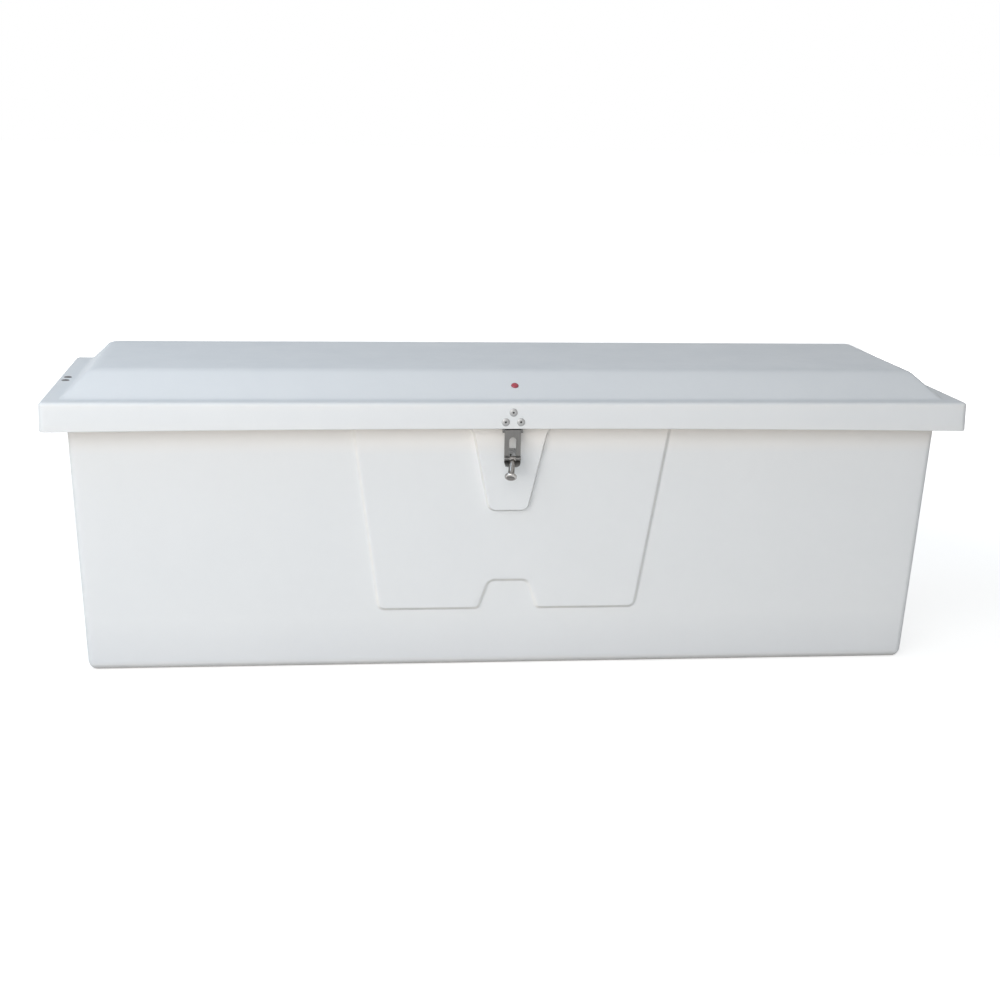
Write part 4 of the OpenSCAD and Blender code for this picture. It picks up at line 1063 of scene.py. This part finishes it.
def seal_section():
    """Across and up: a foam strip with a flat foot and a soft crown."""
    half = 0.5 * SEAL_W
    high = seal_high.z - seal_low.z
    crown = [math.radians(180.0 * k / 14) for k in range(15)]
    points = [(half * math.copysign(abs(math.cos(a)) ** 0.45, math.cos(a)),
               high * (0.35 + 0.65 * math.sin(a) ** 0.7)) for a in crown]
    return [(half * 0.97, 0.0)] + points + [(-half * 0.97, 0.0)]


def make_seal():
    build = bmesh.new()
    section = seal_section()
    for front in (True, False):
        path = seal_path(front)
        rows = []
        for i, point in enumerate(path):
            before = path[max(i - 1, 0)]
            after = path[min(i + 1, len(path) - 1)]
            way = (after - before).normalized()
            side = Vector((way.y, -way.x))
            row = [build.verts.new((point.x + side.x * out, point.y + side.y * out, seal_low.z + up))
                   for out, up in section]
            rows.append(row)
        for k in range(len(rows) - 1):
            for i in range(len(section)):
                j = (i + 1) % len(section)
                build.faces.new((rows[k][i], rows[k][j], rows[k + 1][j], rows[k + 1][i]))
        build.faces.new(list(reversed(rows[0])))
        build.faces.new(rows[-1])
    bmesh.ops.recalc_face_normals(build, faces=build.faces)
    make_piece("foam_strip", build, ["foam"], "tub", "rim_seal")


# CAD nodes that stay: softened edges and their finish
ROUNDED_FROM = math.radians(40)


def dress(node, finish, soft=0.0004, segments=2):
    """Gives a CAD node its finish and a small rounding along its hard edges."""
    piece = frame["nodes"][node]
    piece.data.materials.clear()
    piece.data.materials.append(FINISH[finish])
    rounding = piece.modifiers.new("soft_edges", "BEVEL")
    rounding.width = soft
    rounding.segments = segments
    rounding.limit_method = "ANGLE"
    rounding.angle_limit = ROUNDED_FROM


def dress_nodes():
    for node in ("hinge_body_leaf", "hinge_lid_leaf", "hinge_pin"):
        dress(node, "hinge_steel", 0.0003)
    for node in ("keeper_backing", "hasp_leaf", "hasp_strap"):
        dress(node, "sheet_steel", 0.0006, 3)
    dress("keeper", "rivet", 0.0008, 3)
    dress("pull_pivot_pin", "bright", 0.0006, 3)
    dress("hasp_pin", "polished", 0.0006, 3)
    for side in ("left", "right"):
        dress("wall_bracket_" + side, "sheet_steel")
        dress("wall_stud_" + side, "polished", 0.0003)
        dress("lid_bracket_" + side, "sheet_steel")
        dress("strut_rod_" + side, "polished")
        dress("strut_piston_" + side, "nylon")
        dress("strut_tube_" + side, "enamel", 0.0008, 3)
        dress("tube_guide_" + side, "nylon")
        dress("rod_socket_" + side, "nylon", 0.0006, 3)
        dress("tube_socket_" + side, "nylon", 0.0006, 3)


# Floor and light
WHITE = (1.0, 1.0, 1.0, 1.0)
FLOOR_COLOUR = (0.78, 0.77, 0.75, 1.0)
FLOOR_HALF = 40.0
FLOOR_SHADOW_REACH = 1.5
FLOOR_WHITE_FROM = 3.6
FLOOR_NEAR_GLOW = 0.60
FLOOR_FAR_GLOW = 0.86
SKY_COLOUR = (0.84, 0.92, 1.0, 1.0)
SKY_STRENGTH = 0.305
LAMP_WHITE = (1.0, 0.985, 0.97)
LAMP_BLUE = (0.645, 0.81, 1.0)


def seen_as_backdrop(tree):
    """1 for what the camera sees directly, mirrored or through glass, otherwise 0."""
    rays = add(tree, "ShaderNodeLightPath").outputs
    direct_or_mirrored = maths(tree, "MAXIMUM", rays["Is Camera Ray"], rays["Is Glossy Ray"])
    return maths(tree, "MAXIMUM", direct_or_mirrored, rays["Is Transmission Ray"])


def make_floor():
    """Pale floor that keeps the shadow near the box and brightens to the white backdrop farther out."""
    material = bpy.data.materials.new("studio_floor")
    material.use_nodes = True
    tree = material.node_tree
    tree.nodes.remove(tree.nodes["Principled BSDF"])
    plain = add(tree, "ShaderNodeBsdfDiffuse", {"Color": FLOOR_COLOUR}).outputs[0]
    place = add(tree, "ShaderNodeNewGeometry").outputs["Position"]
    distance = add(tree, "ShaderNodeVectorMath", {0: place}, operation="LENGTH").outputs["Value"]
    strength = remap(tree, distance, FLOOR_SHADOW_REACH, FLOOR_WHITE_FROM,
                     FLOOR_NEAR_GLOW, FLOOR_FAR_GLOW)
    glow = add(tree, "ShaderNodeEmission", {"Color": WHITE, "Strength": strength}).outputs[0]
    bright = add(tree, "ShaderNodeAddShader", {0: plain, 1: glow}).outputs[0]
    shown = add(tree, "ShaderNodeMixShader", {0: seen_as_backdrop(tree), 1: plain, 2: bright}).outputs[0]
    tree.links.new(shown, tree.nodes["Material Output"].inputs["Surface"])
    build = bmesh.new()
    corners = [(-1.0, -1.0), (1.0, -1.0), (1.0, 1.0), (-1.0, 1.0)]
    build.faces.new([build.verts.new((FLOOR_HALF * x, FLOOR_HALF * y, 0.0)) for x, y in corners])
    mesh = bpy.data.meshes.new("studio_floor")
    build.to_mesh(mesh)
    build.free()
    mesh.materials.append(material)
    floor = bpy.data.objects.new("studio_floor", mesh)
    bpy.context.scene.collection.objects.link(floor)


def make_world():
    world = bpy.data.worlds.new("studio")
    bpy.context.scene.world = world
    world.use_nodes = True
    tree = world.node_tree
    light = tree.nodes["Background"]
    light.inputs["Color"].default_value = SKY_COLOUR
    light.inputs["Strength"].default_value = SKY_STRENGTH
    backdrop = add(tree, "ShaderNodeBackground", {"Color": WHITE, "Strength": 1.0}).outputs[0]
    shown = add(tree, "ShaderNodeMixShader", {0: seen_as_backdrop(tree), 1: light.outputs[0], 2: backdrop})
    tree.links.new(shown.outputs[0], tree.nodes["World Output"].inputs["Surface"])


def make_lamp(name, place, target, width, height, power, colour, mirrored=True):
    """Soft rectangular lamp; one that isn't mirrored leaves no shine of its own."""
    data = bpy.data.lights.new(name, "AREA")
    data.shape = "RECTANGLE"
    data.size = width
    data.size_y = height
    data.energy = power
    data.color = colour
    lamp = bpy.data.objects.new(name, data)
    bpy.context.scene.collection.objects.link(lamp)
    lamp.location = place
    lamp.visible_glossy = mirrored
    way = Vector(target) - Vector(place)
    lamp.rotation_euler = way.to_track_quat("-Z", "Y").to_euler()


def make_light():
    make_world()
    make_lamp("front_softbox", (-2.0, -4.6, 2.0), (0.0, 0.0, 0.35), 4.6, 3.4, 178.0, LAMP_WHITE)
    make_lamp("top_softbox", (-1.7, -0.6, 2.5), (-0.3, 0.0, 0.5), 1.8, 1.8, 19.5, LAMP_BLUE)
    make_lamp("rear_softbox", (0.4, 4.6, 0.9), (0.0, 0.0, 0.35), 6.0, 1.4, 130.0, LAMP_WHITE,
              mirrored=False)


bpy.context.scene.view_settings.view_transform = "Standard"
make_camera()
make_tub()
make_lid()
make_all_rivets()
make_pull()
make_button()
make_seal()
dress_nodes()
make_floor()
make_light()

bpy.context.view_layer.update()
